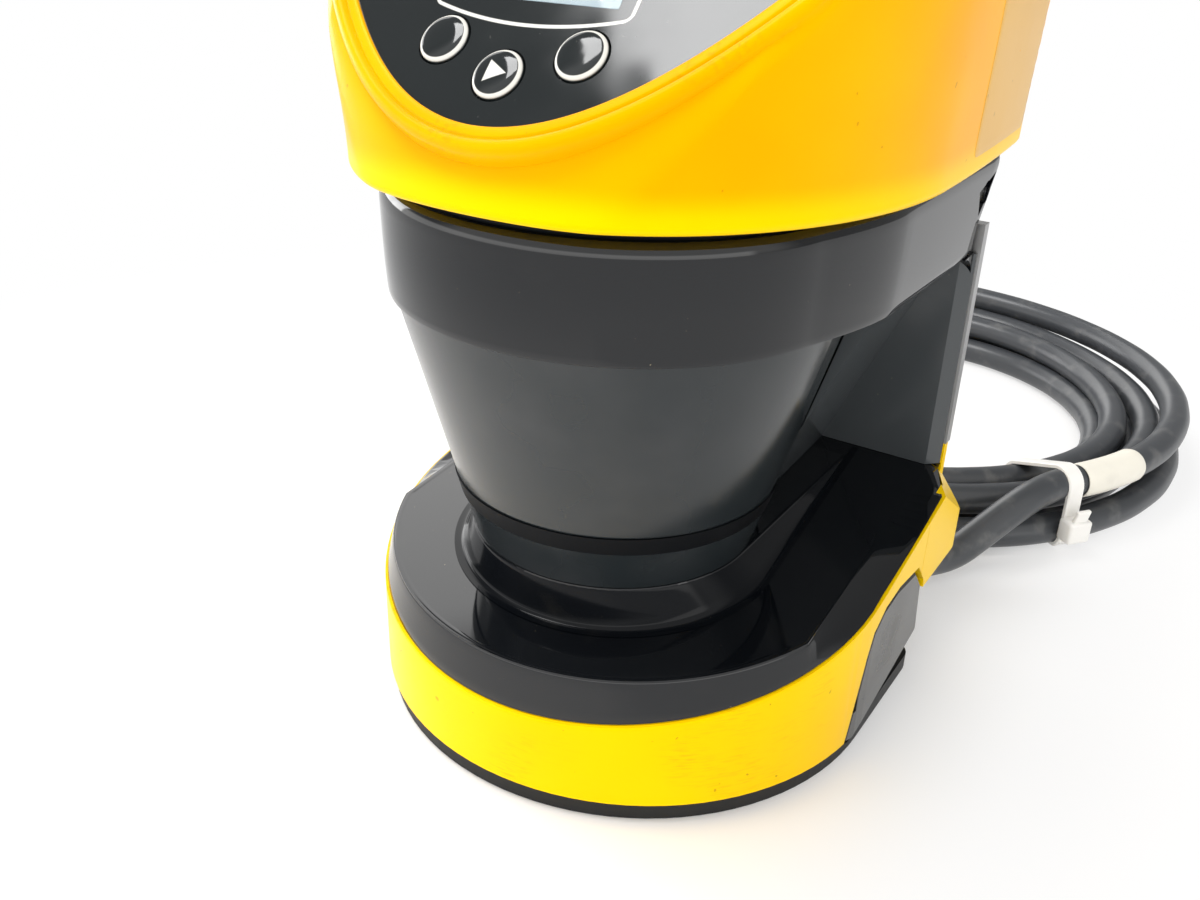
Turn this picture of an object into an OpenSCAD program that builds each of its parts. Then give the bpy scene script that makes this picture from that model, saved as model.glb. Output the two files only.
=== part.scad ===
// Safety laser scanner: a head with keys and display above a conical scan window,
// a horseshoe base below it, a rear wall that joins the two, and a coiled lead.
// Millimetres, +Z up, -Y towards the front. The origin is on the floor, under the middle
// of the box that holds the scanner without its lead.

/* [Base] */
// Half width of the base, and the radius of its round front
base_r = 56; // [52:0.5:60]
// How far the rear of the base lies behind the origin
base_rear = 55; // [53:0.5:58]
// Thickness of the bottom plate
plate_t = 4; // [3:0.5:5]
// Wall of the yellow base parts
band_t = 2.4; // [1.8:0.2:3]
// Height of the yellow band at the origin's depth
band_z = 33.8; // [32:0.2:35]
// Rise of the band's top edge per millimetre of depth
band_slope = 0.23; // [0.18:0.01:0.25]
// Height of the black deck at the origin's depth
deck_z = 36.7; // [36:0.1:38]
// Rise of the deck per millimetre of depth
deck_slope = 0.11; // [0.08:0.01:0.14]
// Height of the rear block's underside above the floor
recess_h = 22; // [19:0.5:24]

/* [Scan window] */
// Depth of the scan axis (negative is towards the front)
scan_y = -11; // [-13:0.5:-9]
// Height of the mound under the window
mound_h = 41.5; // [40:0.5:43]
// Height of the window's lower edge
window_z0 = 54.5; // [53:0.5:56]
// Height of the window's upper edge
window_z1 = 92.2; // [90:0.2:94]
// Outer radius of the window's lower edge
window_r0 = 33; // [31:0.5:34]
// Outer radius of the window's upper edge
window_r1 = 43.5; // [42:0.5:44]
// Thickness of the window
window_t = 2.4; // [1.6:0.2:3]

/* [Upper housing] */
// Radius of the collar above the window
collar_r = 45; // [44.5:0.1:46]
// Height of the collar's top
collar_z1 = 111; // [109:0.5:113]
// Half width of the housing's side walls
housing_w = 49.5; // [49:0.1:50.5]
// Depth of the housing's rear face at its foot
housing_rear = 51; // [50.5:0.1:51.5]

/* [Head] */
// Height of the head's lower edge
head_z0 = 116; // [115:0.5:118]
// Overall height of the scanner
body_h = 165; // [162:0.5:168]
// Half width of the head at its lower edge
head_w = 53.5; // [52.5:0.1:54]
// Reach of the head in front of the origin, at its widest
head_front = 62; // [61:0.1:63]
// Reach of the head behind the origin
head_rear = 62; // [61:0.1:63]
// Wall of the head
head_t = 2.6; // [2:0.1:3.2]
// Tilt of the control panel from level
panel_tilt = 48; // [44:0.5:50]
// Height of the control panel's lowest point
panel_z = 128; // [127:0.5:129]
// Length of the control panel up its slope
panel_len = 40; // [38:0.5:41]

/* [Keys] */
// Radius of a key
key_r = 4.4; // [4:0.1:4.8]
// How far a key travels
key_travel = 0.5; // [0.3:0.1:0.8]
// How far a key stands out of the panel
key_proud = 0.9; // [0.8:0.1:1.4]
// Sideways distance from the middle key to the others
key_dx = 12.9; // [12:0.1:14]

/* [Scan drive] */
// Radius of the motor
motor_r = 16; // [14:0.5:18]
// Radius of the drive shaft
shaft_r = 2; // [1.5:0.25:3]
// Radius of the scanning mirror's carrier
rotor_r = 14; // [12:0.5:16]

/* [Mounting] */
// Sideways distance between the rear threaded holes
mount_dx = 70; // [60:1:80]
// Upright distance between the rear threaded holes
mount_dz = 36; // [30:1:38]
// Radius of a rear threaded hole (an M5 thread's core)
mount_hole_r = 2.1; // [1.6:0.05:2.6]

/* [Lead] */
// Diameter of the lead
cord_d = 8.4; // [8:0.1:9]

/* [Hidden] */

$fn = 96;
gap = 0.2;               // clearance between neighbouring mouldings
far = 400;               // larger than the whole scanner

ink = "#16181b";
gloss_black = "#1d2023";
yellow = "#ffb800";
bright_yellow = "#ffd000";

// ---- outlines -------------------------------------------------------------------------

// Points on an arc, from angle a0 to a1
function arc(cx, cy, r, a0, a1, n) =
    [for (i = [0:n]) let (a = a0 + (a1 - a0) * i / n) [cx + r * cos(a), cy + r * sin(a)]];

// Horseshoe outline: a round front about the origin, straight sides and a rear with round corners
function horseshoe(r, rear, rc = 4) = concat(
    arc(0, 0, r, 180, 360, 48),
    arc(r - rc, rear - rc, rc, 0, 90, 5),
    arc(rc - r, rear - rc, rc, 90, 180, 5));

// Head outline: half an ellipse at the front, sides that draw in a little, round rear corners
head_mid = 3;            // depth of the head's widest place
head_draw = 2;           // how much the sides draw in towards the rear
function head_outline(w, front, rear, rc = 7) = concat(
    [for (i = [0:48]) let (a = 180 + 180 * i / 48) [w * cos(a), head_mid + (front + head_mid) * sin(a)]],
    arc(w - head_draw - rc, rear - rc, rc, 0, 90, 5),
    arc(rc + head_draw - w, rear - rc, rc, 90, 180, 5));

// Housing outline: the collar's round front about the scan axis, then flat side walls
side_front = 6;          // how far behind the scan axis the flat side walls begin
function housing_outline(r, w, rear, rc = 2.5) = concat(
    arc(0, scan_y, r, 192, 348, 40),
    [[w, scan_y + side_front]], arc(w - rc, rear - rc, rc, 0, 90, 4),
    arc(rc - w, rear - rc, rc, 90, 180, 4), [[-w, scan_y + side_front]]);

// A closed solid through rings that have the same number of points. Each end is a fan of
// triangles from a point near the ring's front.
module loft(rings) {
    n = len(rings[0]);
    last = len(rings) - 1;
    hub = floor(n * 0.4);
    polyhedron(
        points = [for (ring = rings) each ring],
        faces = concat(
            [for (i = [1:n - 2]) [hub, (hub + i) % n, (hub + i + 1) % n]],
            [for (i = [1:n - 2]) [for (k = [hub, (hub + i + 1) % n, (hub + i) % n]) last * n + k]],
            [for (k = [0:last - 1], i = [0:n - 1]) let (j = (i + 1) % n)
                each [[k * n + i, (k + 1) * n + i, (k + 1) * n + j],
                      [k * n + i, (k + 1) * n + j, k * n + j]]]));
}

// An outline lifted to a level height, or onto a plane that rises with depth
function level(pts, z) = [for (p = pts) [p[0], p[1], z]];
function on_plane(pts, z, slope) = [for (p = pts) [p[0], p[1], z + slope * p[1]]];

// Everything below a plane that rises with depth
module below(z, slope) {
    translate([0, 0, z]) rotate([atan(slope), 0, 0])
        translate([-far / 2, -far / 2, -far]) cube(far);
}

module mirrored() {
    children();
    mirror([1, 0, 0]) children();
}
function flip(p) = [-p[0], p[1]];

// ---- base -----------------------------------------------------------------------------

plate_rear = 33;                         // the bottom plate stops here, in front of the cable recess
split_y = 27;                            // where the band ends and the rear cover starts
wall_y = 49;                             // front face of the rear wall
foot_r = base_r - 9.1;                   // the front foot screws lie on this radius
foot_a = 50;                             // angle from the side
foot_front = [foot_r * cos(foot_a), -foot_r * sin(foot_a)];
foot_rear = [base_r - 18, 22];
foot_screws = [foot_front, flip(foot_front), foot_rear, flip(foot_rear)];
foot_screw_r = 1.6;
screw_head_r = 2.9;
screw_head_h = 1.9;

module base_plate() {
    color(ink) difference() {
        linear_extrude(plate_t - gap) polygon(horseshoe(base_r - 0.9, plate_rear));
        for (p = foot_screws) translate([p[0], p[1], -1]) {
            cylinder(r = foot_screw_r, h = plate_t + 2, $fn = 32);
            cylinder(r = screw_head_r, h = 1 + screw_head_h + 0.2, $fn = 32);
        }
        mirrored() cover_prism(gap, base_r - cover_t - gap, base_r + 2);
    }
}

// Outline of the side cover, as depth and height: one slanted front edge, a chamfered rear corner
cover_front = -8;
cover_back = 32;
cover_top = 31.4;
cover_outline = [
    [cover_front, 3.4], [-4.6, 1.8], [cover_back - 0.6, 9.2], [cover_back, 11],
    [29.6, 24], [24, 30], [12, cover_top], [4.5, 30.6], [-0.8, 27.6], [-3, 22.5]];

module cover_prism(grow, x0, x1) {
    translate([x0, 0, 0]) rotate([90, 0, 90]) linear_extrude(x1 - x0)
        offset(delta = grow) polygon(cover_outline);
}

module base_wall(z0, rear) {
    translate([0, 0, z0]) linear_extrude(far / 4) difference() {
        polygon(horseshoe(base_r, rear));
        polygon(horseshoe(base_r - band_t, rear - band_t));
    }
}

module base_band() {
    color(bright_yellow) difference() {
        intersection() {
            base_wall(plate_t, base_rear);
            below(band_z, band_slope);
        }
        // the rear cover's place
        translate([-far / 2, split_y, -1]) cube([far, far, far]);
        // the side covers' windows
        mirrored() cover_prism(0.3, base_r - 8, base_r + 2);
        // open to the floor under the covers
        mirrored() translate([base_r - 8, -4.6, -1]) cube([10, far, 11]);
    }
}

// The rear cover wraps the rear of the base above the cable recess. Each rear corner is
// closed by a solid web whose top is a slanted plane.
rear_top = 47;                           // its back wall stands this high behind the rear wall
corner_y = 36.4;                         // where the web meets the base's side
corner_in = [base_r - 6.3, wall_y + 1.6];  // where it meets the rear wall's foot
corner_turn = 27;                        // direction in which the slanted plane falls
corner_tilt = 55.6;                      // and how steeply

module rear_cover() {
    color(bright_yellow) difference() {
        union() {
            difference() {
                intersection() {
                    union() {
                        base_wall(recess_h, base_rear);
                        translate([0, 0, recess_h]) linear_extrude(far) intersection() {
                            mirrored() polygon([[base_r, corner_y], corner_in,
                                                [corner_in[0], base_rear], [base_r, base_rear]]);
                            polygon(horseshoe(base_r, base_rear));
                        }
                    }
                    below(band_z, band_slope);
                }
                mirrored() translate([base_r, corner_y, band_z + band_slope * corner_y])
                    rotate([0, corner_tilt, corner_turn]) translate([-far / 2, -far / 2, 0]) cube(far);
            }
            translate([-corner_in[0], base_rear - band_t, recess_h])
                cube([2 * corner_in[0], band_t, rear_top - recess_h]);
        }
        translate([-far / 2, split_y + gap - far, 0]) cube(far);
        mirrored() cover_prism(0.3, base_r - 8, base_r + 2);
        // holes for the rear screws
        for (p = rear_screw_at) translate([p[0], base_rear + 1, p[1]]) rotate([90, 0, 0])
            cylinder(r = foot_screw_r, h = band_t + 4, $fn = 32);
    }
}
rear_screw_at = [[-34, 34], [34, 34]];

// Side cover: a black door with a chamfered face and a groove along its lower edge
cover_t = 3.4;
module side_cover() {
    color(gloss_black) difference() {
        intersection() {
            cover_prism(0, base_r - cover_t, base_r - 0.2);
            // chamfered outer edge
            hull() {
                cover_prism(0, base_r - cover_t, base_r - 1.6);
                cover_prism(-1.4, base_r - cover_t, base_r - 0.2);
            }
            // never outside the base's round front
            linear_extrude(far) polygon(horseshoe(base_r - 0.2, base_rear));
        }
        // finger notch in the front edge
        translate([base_r - 2, cover_front + 1.4, 10]) cube([4, 2.4, 6]);
    }
}
module side_cover_right() { side_cover(); }
module side_cover_left() { mirror([1, 0, 0]) side_cover(); }

// Deck: the black top of the base. A steep chamfer round the front, a flat one along the sides
// and a low mound that carries the window.
deck_edge = base_r - 2.1;                // radius of the chamfer's upper edge
deck_in = base_r - band_t - gap;         // what goes down inside the yellow band
deck_wall = 2.6;
crease_a = 23;                           // angle from the side at which the front chamfer ends
deck_rear = base_rear - band_t - gap;
deck_rear_x = 47.5;
deck_side_x = deck_edge * cos(crease_a);
deck_side_y = -deck_edge * sin(crease_a);
deck_side_end = corner_y - 0.8;          // the sides end here, in front of the rear cover's webs
bow = 0.2;                               // how much each side swells outwards
side_steps = [for (i = [1:12]) i / 12];
function deck_arc(r) = arc(0, 0, r, 180 + crease_a, 360 - crease_a, 48);
function mirrored_loop(front, side) = concat(
    front, side, [for (i = [len(side) - 1:-1:0]) flip(side[i])]);
// The lower outline: the crease's arc goes on to the side, then a slanted line to the rear
function deck_lower(r, inset) = mirrored_loop(deck_arc(r), concat(
    arc(0, 0, r, 360 - crease_a + 5, 360 - 3, 4),
    [for (t = side_steps) [r - bow + bow * sin(180 * t), deck_side_end * t]],
    [corner_in - [inset, inset], [corner_in[0] - inset, deck_rear + gap - inset]]));
// The upper outline: straight from the crease to the rear, with a point for each one below
function deck_side(y) =
    let (t = (y - deck_side_y) / (deck_rear - deck_side_y))
    [deck_side_x + (deck_rear_x - deck_side_x) * t + bow * sin(180 * t), y];
function deck_upper() = mirrored_loop(deck_arc(deck_edge), concat(
    [for (p = arc(0, 0, deck_edge, 360 - crease_a + 5, 360 - 3, 4)) deck_side(p[1])],
    [for (t = side_steps) deck_side(deck_side_end * t)],
    [deck_side(corner_in[1] - gap), [deck_rear_x, deck_rear]]));
// Lifted to the band's top edge, and near the rear to just below the deck
function to_band(pts) = [for (p = pts) [p[0], p[1],
    p[1] > deck_side_end ? deck_z - 0.6 + deck_slope * p[1] : band_z + 0.3 + band_slope * p[1]]];

// The mound: it stands upright at the front, flares at its sides and runs straight to the rear
mound_top_w = 29.6;                      // half width at the top
mound_flare = 0.7;                       // how much wider it gets per millimetre down
mound_low = mound_h - 12;
module mound() {
    function ring(z) =
        let (grow = mound_flare * (mound_h - z), r = mound_top_w + grow)
        level(concat(arc(0, scan_y + grow, r, 180, 360, 48), [[r, deck_rear - 4], [-r, deck_rear - 4]]), z);
    loft([ring(mound_low), ring(mound_h)]);
}

block_z = recess_h + gap;                // underside of the deck above the cable recess
boss_r = 4;
duct_w = 14;                             // half width of the wiring duct behind the window
duct_y = 33;
duct_len = 13;
module base_deck() {
    color(gloss_black) difference() {
        union() {
            loft([
                level(deck_lower(deck_in, 2 * gap), plate_t),
                to_band(deck_lower(deck_in, 2 * gap)),
                to_band(deck_lower(base_r - 0.5, gap)),
                on_plane(deck_upper(), deck_z, deck_slope)]);
            mound();
        }
        // room inside, round the bosses for the bottom plate's screws
        difference() {
            intersection() {
                union() {
                    translate([0, 0, -1]) linear_extrude(far / 4)
                        polygon(horseshoe(deck_in - deck_wall, plate_rear - deck_wall));
                    translate([0, 0, block_z + deck_wall]) linear_extrude(far / 4)
                        polygon(horseshoe(deck_in - deck_wall, deck_rear - deck_wall));
                }
                below(deck_z - 4, deck_slope);
            }
            for (p = foot_screws) translate([p[0], p[1], -2]) cylinder(r = boss_r, h = far / 4, $fn = 48);
        }
        for (p = foot_screws) translate([p[0], p[1], -1]) cylinder(r = foot_screw_r, h = 14, $fn = 32);
        about_scan_axis() translate([0, 0, -1]) cylinder(r = motor_r + 1, h = mound_h + 2);
        translate([-duct_w, duct_y, deck_z - 8]) cube([2 * duct_w, duct_len, 20]);
        // room for the side covers
        mirrored() cover_prism(0.6, base_r - cover_t - gap, base_r + 2);
        // the rear wall's foot, between the raised strips at the sides
        difference() {
            translate([-housing_w - 0.1, wall_y - 0.1, deck_z]) cube([2 * housing_w + gap, 10, 20]);
            below(deck_z, deck_slope);
        }
        // cable recess behind the bottom plate, and the lead's way in
        translate([-far / 2, plate_rear, -1]) cube([far, far, block_z + 1]);
        translate([gland_at[0], 0, gland_at[1]]) rotate([-90, 0, 0]) cylinder(r = cord_r + 0.2, h = far);
        // holes for the rear cover's screws
        for (p = rear_screw_at) translate([p[0], deck_rear - 6, p[1]]) rotate([-90, 0, 0])
            cylinder(r = foot_screw_r, h = 10, $fn = 32);
    }
}

// ---- scan window ----------------------------------------------------------------------

seal_z0 = 50.5;                          // lower edge of the seal under the window
function window_r(z) = window_r0 + (window_r1 - window_r0) * (z - window_z0) / (window_z1 - window_z0);

module about_scan_axis() { translate([0, scan_y, 0]) children(); }

// A ring between two heights that follows the window's slope
module cone_ring(z0, z1, r0, r1, t) {
    about_scan_axis() rotate_extrude()
        polygon([[r0 - t, z0], [r0, z0], [r1, z1], [r1 - t, z1]]);
}

foot_t = 5;
module window_foot() {
    color(gloss_black) cone_ring(mound_h + 0.1, seal_z0 - 0.1, window_r(mound_h), window_r(seal_z0), foot_t);
}
module window_seal() {
    color(ink) cone_ring(seal_z0, window_z0 - 0.1, window_r(seal_z0) + 0.3, window_r0 + 0.3, 4);
}
module window() {
    color("#23272b") cone_ring(window_z0, window_z1, window_r0, window_r1, window_t);
}

// ---- upper housing and rear wall --------------------------------------------------------

wall_z = window_z1 + gap;                // lower edge of the collar and the side walls
lip_h = 2;                               // chamfer along the housing's top
lip_in = 1.1;
slant_z = 98.5;                          // above this height the rear face leans back
slant_rear = 61.5;                       // how far back it would reach at the head's lower edge
bore_r = 38;
ledge_r = 34;
ledge_z = window_z1 + 2.3;
function slant(z) = housing_rear + (slant_rear - housing_rear) * (z - slant_z) / (head_z0 - 1 - slant_z);

function housing_ring(in, rear, z) = level(housing_outline(collar_r + 0.4 - in, housing_w - in, rear), z);

module upper_housing() {
    color(gloss_black) difference() {
        loft([
            housing_ring(0.7, housing_rear, wall_z),
            housing_ring(0.4, housing_rear, slant_z),
            housing_ring(0, slant(collar_z1 - lip_h), collar_z1 - lip_h),
            housing_ring(lip_in, slant(collar_z1), collar_z1)]);
        // bore for the lens holder, with a ledge that it stands on
        about_scan_axis() translate([0, 0, window_z1 - 1]) cylinder(r = ledge_r, h = far);
        about_scan_axis() translate([0, 0, ledge_z]) cylinder(r = bore_r, h = far);
        // wiring space behind the bore
        translate([-40, 20, slant_z + 2]) cube([80, 26, far]);
        // three-cornered recesses at the upper rear corners, with a screw in each
        mirrored() translate([housing_w - 3, 0, 0]) rotate([90, 0, 90]) linear_extrude(far)
            polygon([[housing_rear - 3, slant_z + 2.5], [slant(collar_z1) - 2, collar_z1 - lip_h + 0.4],
                     [housing_rear - 5.5, collar_z1 - 4.5]]);
        mirrored() translate([housing_w - 12, corner_screw[0], corner_screw[1]]) rotate([0, 90, 0]) {
            cylinder(r = 1.3, h = 20, $fn = 32);
            translate([0, 0, 9]) cylinder(r = 2.4, h = 20, $fn = 40);
        }
    }
}
corner_screw = [50.4, 105.6];            // depth and height

wall_low_w = 19;                         // half widths of the pillar behind the window
wall_high_w = 44;
pillar_y = scan_y + 14;                  // how far forward the pillar reaches beside the window
function pillar_plan(w) = [[-w - 2, pillar_y], [w + 2, pillar_y], [w, wall_y + 1], [-w, wall_y + 1]];
wall_top = wall_z - gap;
wall_back = housing_rear + 0.6;          // rear face of the wall
wall_edge = 2.6;                         // chamfer along its outer front edges
wall_side = [[-housing_w, wall_back], [-housing_w, wall_back - 0.4], [-housing_w + wall_edge, wall_y]];
module rear_column() {
    color(gloss_black) difference() {
        union() {
            translate([0, 0, deck_z - 3]) linear_extrude(wall_top - deck_z + 3)
                polygon(concat(wall_side, [for (p = [wall_side[2], wall_side[1], wall_side[0]]) flip(p)]));
            loft([
                level(pillar_plan(wall_low_w), mound_h - 4),
                level(pillar_plan(wall_high_w), wall_top)]);
        }
        // the window and what carries it
        about_scan_axis() translate([0, 0, mound_h - 8])
            cylinder(r1 = window_r(mound_h - 8) + 0.6, r2 = window_r(window_z1 + 6) + 0.6,
                     h = window_z1 + 14 - mound_h);
        about_scan_axis() translate([0, 0, window_z1 - 0.4]) cylinder(r = collar_r + 0.1, h = 20);
        // it stands on the deck and on the mound
        below(deck_z + 0.1, deck_slope);
        translate([0, 0, 0.1]) mound();
        // wiring duct inside
        translate([-duct_w, duct_y, 0]) cube([2 * duct_w, duct_len, far]);
        // room for the tips of the mounting bolts
        at_mount_holes() cylinder(r = mount_hole_r + 0.5, h = 5, center = true, $fn = 48);
    }
}

// Back plate: a metal plate with the four threaded holes that a bracket bolts to
back_plate_t = 2.9;
back_plate_lip = 0.6;     // how far the plate stands past the housing at each side
back_plate_y = housing_rear + 0.8;
mount_z = 72;                            // middle of the threaded holes
module at_mount_holes() {
    for (x = [-1, 1], z = [-1, 1])
        translate([x * mount_dx / 2, back_plate_y, mount_z + z * mount_dz / 2])
            rotate([-90, 0, 0]) children();
}
module back_plate() {
    color("silver") difference() {
        translate([-housing_w - back_plate_lip, back_plate_y, rear_top + gap])
            cube([2 * (housing_w + back_plate_lip), back_plate_t, slant_z - rear_top - gap]);
        at_mount_holes() cylinder(r = mount_hole_r, h = 20, center = true, $fn = 48);
    }
}

// ---- head -------------------------------------------------------------------------------

// How far the head's wall stands outside its lower edge, at a share of its height
head_rings = [[0, 0], [2, 0.9], [5, 1.4], [34, 2.3], [40, 1.7], [44, 0.2], [47, -2.6], [49, -7]];
head_rings_h = 49;       // height over which they are given
flare_max = 2.3;
flare_front = 1.45;                      // flare where the control panel's slope cuts the front
head_h = body_h - head_z0;
function head_ring(in, z, flare) = level(head_outline(
    head_w + flare - in, head_front + flare - flare_front - in, head_rear + flare - flare_max - in), z);
// The head's form, drawn in by a depth, from a height up to just below the head's top
module head_form(in, z, h) {
    loft([for (r = head_rings) head_ring(in, z + r[0] * h / head_rings_h, r[1])]);
}

// The control panel's own frame: X across, Y up the slope, Z out of the panel
panel_y = 6 - head_front;
panel_plane = panel_z - panel_y * tan(panel_tilt);
panel_slope = tan(panel_tilt);
module on_panel() { translate([0, panel_y, panel_z]) rotate([panel_tilt, 0, 0]) children(); }

rim_h = 0.5;                             // the yellow rim stands this far above the panel
panel_t = 2;
panel_w = 44;                            // half width of the panel
panel_k = 0.0152;                        // how quickly its lower edge opens
// Shield: a curve that opens upwards, straight sides, round upper corners
function shield(w, len, lift) = concat(
    [for (i = [-24:24]) let (x = w * i / 24) [x, lift + panel_k * x * x]],
    arc(w - 8, len - 8, 8, 0, 90, 8),
    arc(8 - w, len - 8, 8, 90, 180, 8));

module head_shell() {
    color(yellow) difference() {
        intersection() {
            head_form(0, head_z0, head_h);
            below(panel_plane + rim_h / cos(panel_tilt), panel_slope);
        }
        // hollow inside
        intersection() {
            head_form(head_t, head_z0 - 1, head_h + 1 - head_t);
            below(panel_plane - (panel_t + 2) / cos(panel_tilt), panel_slope);
        }
        // the panel's seat and the opening behind it
        on_panel() {
            translate([0, 0, -panel_t]) linear_extrude(20) polygon(shield(panel_w, panel_len, 0));
            translate([0, 0, -panel_t - 10]) linear_extrude(20)
                polygon(shield(panel_w - 5, panel_len - 3, 3.2));
        }
        // shallow seat for the rating plate
        side_skin(-1, plate_depth, 0);
    }
}

// The rating plate's place on the head's right side: a range of depth and of height
plate_y0 = 16;
plate_y1 = 54;
plate_z0 = 119;
plate_z1 = 152;
plate_depth = 0.5;

// The head's outer skin between two depths, cut to the plate's place less a margin
module side_skin(from, to, margin) {
    intersection() {
        difference() {
            head_form(from, head_z0, head_h);
            head_form(to, head_z0 - 0.5, head_h + 1);
        }
        translate([30, plate_y0 + margin, plate_z0 + margin])
            cube([60, plate_y1 - plate_y0 - 2 * margin, plate_z1 - plate_z0 - 2 * margin]);
    }
}

// Rating plate: bare, it follows the head's side
module rating_plate() { color("#f6a81c") side_skin(0.1, plate_depth - 0.05, 0.15); }

// Seal between the housing and the head: a black bead that the head overhangs
module head_seal() {
    seal_top = head_z0 - 0.1;
    seal_low = collar_z1 + 0.1;
    function bead(in, rear, z) = level(head_outline(head_w - in, head_front - flare_front - in - 1, rear), z);
    color(ink) difference() {
        loft([
            bead(4.6, slant(collar_z1) - 0.3, seal_low),
            bead(3.2, slant(collar_z1) + 0.3, seal_low + 1.2),
            bead(2.6, slant(collar_z1) + 0.8, seal_low + 2.2),
            bead(3.6, slant(collar_z1) + 0.6, seal_low + 3),
            bead(2.4, head_rear - flare_max - 1, seal_top)]);
        about_scan_axis() translate([0, 0, seal_low - 1]) cylinder(r = bore_r, h = 20);
        translate([-40, 20, seal_low - 1]) cube([80, 26, 20]);
    }
}

// ---- control panel ------------------------------------------------------------------------

lcd_w = 15.4;                            // half width of the display's window
lcd_u0 = 22.3;                           // its lower and upper edges up the slope
lcd_u1 = 35;
key_u = 9;                               // the middle key's place up the slope
key_du = 4.9;                            // how much higher the outer keys lie
key_at = [[-key_dx, key_u + key_du], [0, key_u], [key_dx, key_u + key_du]];
fit_r = 0.25;                            // clearance round a key

module panel_plate() {
    color(gloss_black) on_panel() difference() {
        translate([0, 0, -panel_t + 0.05]) linear_extrude(panel_t - 0.05)
            polygon(shield(panel_w - gap, panel_len - gap, gap));
        for (k = key_at) translate([k[0], k[1], -5]) cylinder(r = key_r + fit_r, h = 10, $fn = 64);
        translate([-lcd_w, lcd_u0, -5]) cube([2 * lcd_w, lcd_u1 - lcd_u0, 10]);
    }
}

module lcd_lens() {
    color("#9fc4cc") on_panel() translate([-lcd_w + 0.1, lcd_u0 + 0.1, -panel_t + 0.2])
        cube([2 * lcd_w - gap, lcd_u1 - lcd_u0 - gap, panel_t - 0.2]);
}

board_z = -panel_t - 1.7 - key_travel;    // top face of the display board, in the panel's frame
module lcd_module() {
    color("#c9d6d8") on_panel() translate([-lcd_w - 1.5, lcd_u0 - 1.5, board_z + 0.1])
        cube([2 * lcd_w + 3, lcd_u1 - lcd_u0 + 3, 2]);
}

// A key: a domed cap that goes through the panel, and a flange that keeps it in
module key(i) {
    color(gloss_black) on_panel() translate([key_at[i][0], key_at[i][1], 0]) rotate_extrude()
        polygon(concat(
            [[0, -panel_t - 1.2], [key_r + 0.8, -panel_t - 1.2], [key_r + 0.8, -panel_t - gap],
             [key_r, -panel_t - gap], [key_r, key_proud - 0.45]],
            [for (a = [15:15:90]) [key_r - 0.5 + 0.5 * cos(a), key_proud - 0.45 + 0.3 * sin(a)]],
            [[0, key_proud]]));
}
module key_escape() { key(0); }
module key_arrow() { key(1); }
module key_enter() { key(2); }

module display_board() {
    color("darkgreen") on_panel() translate([0, 0, board_z - board_t])
        linear_extrude(board_t) polygon(shield(panel_w - 9, panel_len - 6, 3));
}

// ---- scan drive -----------------------------------------------------------------------

motor_z0 = 9;
flange_z = mound_h + 0.1;
flange_t = 1.4;
running = 0.05;                          // running clearance of the shaft
shaft_top = 62;
carrier_z = flange_z + 6.6;
mirror_z = 70;                           // where the scan axis meets the mirror

module motor_housing() {
    color("dimgray") about_scan_axis() difference() {
        union() {
            translate([0, 0, motor_z0]) cylinder(r = motor_r, h = flange_z + flange_t - motor_z0);
            translate([0, 0, flange_z]) cylinder(r = 23, h = flange_t);
            translate([0, 0, flange_z + flange_t]) cylinder(r = 4.5, h = 1.2);
        }
        translate([0, 0, motor_z0 + 3]) cylinder(r = shaft_r + running, h = far);
    }
}

module motor_shaft() {
    color("silver") about_scan_axis() translate([0, 0, motor_z0 + 3.3])
        cylinder(r = shaft_r, h = shaft_top - motor_z0 - 3.3);
}

// The carrier is a round block cut at 45 degrees; the mirror lies on the cut
module carrier_cut(lift) {
    translate([0, 0, mirror_z + lift * sqrt(2)]) rotate([-45, 0, 0]) translate([-50, -50, 0]) cube(100);
}
mirror_t = 1.5;
module mirror_carrier() {
    color("#303438") about_scan_axis() difference() {
        union() {
            translate([0, 0, carrier_z]) cylinder(r = rotor_r, h = 40);
            translate([0, 0, carrier_z]) cylinder(r = rotor_r + 2, h = 3);
        }
        carrier_cut(-mirror_t);
        translate([0, 0, carrier_z - 1]) cylinder(r = shaft_r + 0.02, h = shaft_top - carrier_z + 1.2);
    }
}
module scan_mirror() {
    color("white") about_scan_axis() difference() {
        translate([0, 0, carrier_z]) cylinder(r = rotor_r - 0.2, h = 40);
        carrier_cut(0);
        translate([0, 0, mirror_z - (mirror_t - 0.05) * sqrt(2)]) rotate([-45, 0, 0])
            translate([-50, -50, -100]) cube(100);
    }
}

encoder_r = 19.5;
encoder_z = flange_z + 4.6;
module encoder_disc() {
    color("lightgray") about_scan_axis() difference() {
        union() {
            translate([0, 0, encoder_z]) cylinder(r = encoder_r, h = 0.6);
            translate([0, 0, encoder_z]) cylinder(r = 5, h = carrier_z - encoder_z - 0.05);
        }
        translate([0, 0, encoder_z - 1]) cylinder(r = shaft_r + 0.02, h = 10);
        for (a = [0:30:330]) rotate(a) translate([16, -1, encoder_z - 1]) cube([2.2, 2, 3]);
    }
}

module encoder_board() {
    board_low = flange_z + flange_t + 0.1;
    color("darkgreen") about_scan_axis() difference() {
        union() {
            translate([0, 0, board_low]) cylinder(r = 22.5, h = 1.2);
            translate([rotor_r + 2.4, -3.5, board_low])
                cube([22 - rotor_r - 2.4, 7, encoder_z + 2.2 - board_low]);
        }
        translate([0, 0, board_low - 1]) cylinder(r = 6, h = 20);
        // the slot that the disc turns in
        translate([0, 0, encoder_z - 0.5]) cylinder(r = encoder_r + 0.5, h = 1.6);
    }
}

// ---- optics -----------------------------------------------------------------------------

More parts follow.
